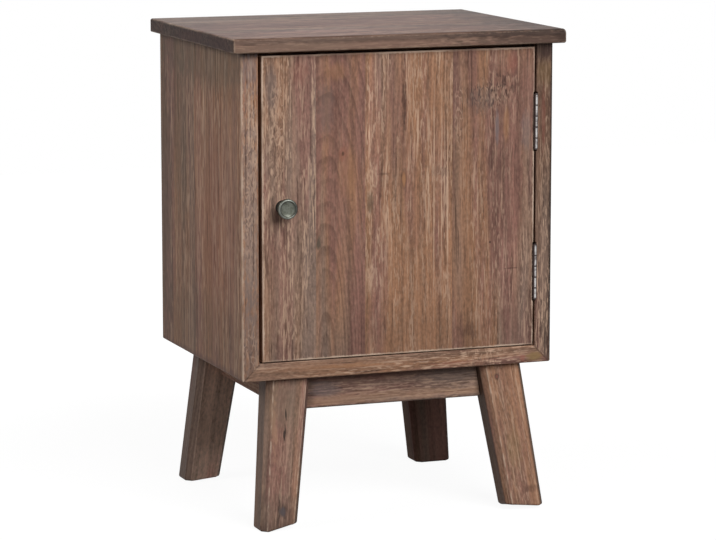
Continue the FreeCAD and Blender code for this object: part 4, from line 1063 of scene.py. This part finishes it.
def screw_shapes(node):
    """The shape of each screw of a node, in the order of its mesh."""
    shape = bmesh.new()
    shape.from_mesh(NODES[node].data)
    bmesh.ops.remove_doubles(shape, verts=shape.verts, dist=DOUBLES_APART)
    screws = [screw_shape([vert.co for vert in island]) for island in islands(shape)]
    shape.free()
    return screws


def screw_sockets(tree):
    """Named inputs of the screws' node tree, and its output."""
    for label, kind, value in (
        ("Geometry", "Geometry", None), ("Head Radius", "Float", 0.0035), ("Length", "Float", 0.014),
        ("Seed", "Int", 1), ("Metal", "Material", None),
    ):
        socket = tree.interface.new_socket(label, in_out="INPUT", socket_type="NodeSocket" + kind)
        if value is not None:
            socket.default_value = value
    tree.interface.new_socket("Geometry", in_out="OUTPUT", socket_type="NodeSocketGeometry")


def screw_nodes():
    """Geometry nodes that set one slotted countersunk screw on every point, each slot turned its own way."""
    tree = bpy.data.node_groups.new("Slotted Screws", "GeometryNodeTree")
    screw_sockets(tree)
    w = Wiring(tree)
    given = w.add("NodeGroupInput").outputs
    radius, length = given["Head Radius"], given["Length"]

    def radii(count):
        return w.math("MULTIPLY", radius, count)

    def raised(part, height):
        inputs = {"Geometry": part, "Translation": w.joined(0.0, 0.0, height)}
        return w.add("GeometryNodeTransform", inputs).outputs["Geometry"]

    def cone(sides, top, bottom, depth):
        inputs = {"Vertices": sides, "Radius Top": top, "Radius Bottom": bottom, "Depth": depth}
        return w.add("GeometryNodeMeshCone", inputs).outputs["Mesh"]

    head_depth = radii(HEAD_DEPTH)
    head = cone(HEAD_SIDES, radius, radii(SHANK_RADIUS), head_depth)
    slot_size = w.joined(*(radii(count) for count in SLOT_SIZE))
    slot = raised(w.add("GeometryNodeMeshCube", {"Size": slot_size}).outputs["Mesh"], head_depth)
    cut_head = w.add("GeometryNodeMeshBoolean", {"Mesh 1": head, "Mesh 2": slot},
                     operation="DIFFERENCE", solver="EXACT").outputs["Mesh"]
    shank = cone(SHANK_SIDES, radii(SHANK_RADIUS), radii(TIP_RADIUS), w.math("SUBTRACT", length, head_depth))
    shank = raised(shank, w.math("SUBTRACT", head_depth, length))
    whole = w.add("GeometryNodeJoinGeometry")
    for part in (cut_head, shank):
        w.link(part, whole.inputs[0])
    flush = raised(whole.outputs[0], w.math("MULTIPLY", head_depth, -1.0))

    outward = w.add("GeometryNodeInputNamedAttribute", {"Name": "outward"}, data_type="FLOAT_VECTOR")
    facing = w.add("FunctionNodeAlignRotationToVector", {"Vector": outward.outputs["Attribute"]}, axis="Z")
    spin = w.add("FunctionNodeRandomValue", {"Seed": given["Seed"]}, data_type="FLOAT")
    angle = w.math("MULTIPLY", spin.outputs["Value"], math.pi)
    turn = w.add("FunctionNodeAxisAngleToRotation", {"Axis": (0.0, 0.0, 1.0), "Angle": angle})
    turned = w.add("FunctionNodeRotateRotation", {
        "Rotation": facing.outputs["Rotation"], "Rotate By": turn.outputs["Rotation"],
    }, rotation_space="LOCAL")
    placed = w.add("GeometryNodeInstanceOnPoints", {
        "Points": given["Geometry"], "Instance": flush, "Rotation": turned.outputs["Rotation"],
    })
    real = w.add("GeometryNodeRealizeInstances", {"Geometry": placed.outputs["Instances"]})
    metal = w.add("GeometryNodeSetMaterial", {
        "Geometry": real.outputs["Geometry"], "Material": given["Metal"],
    })
    w.add("NodeGroupOutput", {"Geometry": metal.outputs["Geometry"]})
    return tree


SCREWS = screw_nodes()


def screw_piece(node, seed):
    """All screws of one node as a single mesh."""
    heads, directions, radii, lengths = zip(*screw_shapes(node))
    points = bpy.data.meshes.new(node + "_points")
    points.from_pydata(heads, [], [])
    outward = points.attributes.new("outward", "FLOAT_VECTOR", "POINT")
    for item, direction in zip(outward.data, directions):
        item.vector = direction
    holder = placed_object(node + "_points", points)
    modifier = holder.modifiers.new("slotted_screws", "NODES")
    modifier.node_group = SCREWS
    values = {"Head Radius": radii[0], "Length": lengths[0], "Seed": seed, "Metal": screw_steel}
    for socket in SCREWS.interface.items_tree:
        if socket.in_out == "INPUT" and socket.name in values:
            modifier[socket.identifier] = values[socket.name]
    evaluated = holder.evaluated_get(bpy.context.evaluated_depsgraph_get())
    mesh = bpy.data.meshes.new_from_object(evaluated)
    mesh.name = node + "_slotted"
    bpy.data.objects.remove(holder)
    return placed_object(node + "_slotted", mesh)


SCREW_BODIES = {
    "hinge_frame_screws": "cabinet", "back_panel_screws": "cabinet", "top_screws": "cabinet",
    "base_screws": "cabinet", "catch_screws": "cabinet", "hinge_door_screws": "door", "strike_screws": "door",
    "knob_screw": "door",
}
for seed, (screw_node, screw_body) in enumerate(SCREW_BODIES.items(), 1):
    stand_in_for(screw_piece(screw_node, seed), screw_node, screw_body)


# Floor, light and camera

FLOOR_REACH = 3.0
FLOOR_AS_LIT, FLOOR_SHADOWED = tone(100, 98, 96), tone(96, 96, 96)
ROOM_LEVEL = 0.14
LAMP_AIM = Vector((0.0, 0.0, 0.3))
CAMERA_PLACE = (-1.339, -3.557, 0.868)
CAMERA_TURN, CAMERA_TILT = -20.67, 8.99
LENS, SENSOR_WIDTH = 164.8, 36.0


def seen_directly(w):
    """One for rays from the camera, a mirror or glass, and zero for rays that only carry light."""
    path = w.add("ShaderNodeLightPath").outputs
    through = w.math("MAXIMUM", path["Is Glossy Ray"], path["Is Transmission Ray"])
    return w.math("MAXIMUM", path["Is Camera Ray"], through)


def studio_floor():
    """A wide pale floor. The camera and metal see it near white, with the table's soft shadow on it."""
    mesh = bpy.data.meshes.new("studio_floor")
    corners = [(FLOOR_REACH * x, FLOOR_REACH * y, 0) for x, y in ((-1, -1), (1, -1), (1, 1), (-1, 1))]
    mesh.from_pydata(corners, [], [(0, 1, 2, 3)])
    floor = placed_object("studio_floor", mesh)
    material, w = blank_material("studio_floor_paint")
    plain = w.add("ShaderNodeBsdfDiffuse", {"Color": FLOOR_AS_LIT})
    away = w.vector("LENGTH", w.add("ShaderNodeTexCoord").outputs["Object"])
    glow = w.add("ShaderNodeEmission", {"Color": WHITE, "Strength": w.ramp(away, 0.4, 1.1, 0.93, 1.0)})
    shadowed = w.add("ShaderNodeBsdfDiffuse", {"Color": FLOOR_SHADOWED})
    pale = w.add("ShaderNodeAddShader", {0: shadowed.outputs[0], 1: glow.outputs[0]})
    either = w.add("ShaderNodeMixShader", {0: seen_directly(w), 1: plain.outputs[0], 2: pale.outputs[0]})
    w.add("ShaderNodeOutputMaterial", {"Surface": either.outputs[0]})
    mesh.materials.append(material)


def studio_world():
    """An even white room: full white to the camera and to metal, dimmer as a light."""
    world = bpy.data.worlds.new("studio_world")
    bpy.context.scene.world = world
    world.use_nodes = True
    world.node_tree.nodes.clear()
    w = Wiring(world.node_tree)
    strength = w.math("MULTIPLY_ADD", seen_directly(w), 1.0 - ROOM_LEVEL, ROOM_LEVEL)
    background = w.add("ShaderNodeBackground", {"Color": WHITE, "Strength": strength})
    w.add("ShaderNodeOutputWorld", {"Surface": background.outputs[0]})


def aim(holder, place, direction):
    """Puts a lamp or a camera in its place, looking in a direction."""
    holder.location = place
    holder.rotation_mode = "QUATERNION"
    holder.rotation_quaternion = direction.to_track_quat("-Z", "Y")


def soft_lamp(name, turn, rise, distance, across, power):
    """A square lamp facing the cabinet, turned to the right from the front and raised, both in degrees."""
    lamp = bpy.data.lights.new(name, "AREA")
    lamp.shape, lamp.size, lamp.energy = "SQUARE", across, power
    turn, rise = math.radians(turn), math.radians(rise)
    away = Vector((math.sin(turn) * math.cos(rise), -math.cos(turn) * math.cos(rise), math.sin(rise)))
    aim(placed_object(name, lamp), LAMP_AIM + away * distance, -away)


def photo_camera():
    """The camera at the photograph's viewing angle, with its long lens."""
    camera = bpy.data.cameras.new("photo_camera")
    camera.lens, camera.sensor_width = LENS, SENSOR_WIDTH
    camera.clip_end = 100.0
    holder = placed_object("photo_camera", camera)
    turn, tilt = math.radians(CAMERA_TURN), math.radians(CAMERA_TILT)
    ahead = Vector((-math.sin(turn) * math.cos(tilt), math.cos(turn) * math.cos(tilt), -math.sin(tilt)))
    aim(holder, CAMERA_PLACE, ahead)
    bpy.context.scene.camera = holder


studio_floor()
studio_world()
soft_lamp("key_lamp", turn=12, rise=32, distance=3.2, across=2.0, power=88.0)
soft_lamp("left_lamp", turn=-84, rise=32, distance=3.0, across=1.3, power=27.0)
soft_lamp("back_lamp", turn=165, rise=24, distance=3.0, across=1.5, power=14.0)
photo_camera()
bpy.context.scene.view_settings.view_transform = "Standard"
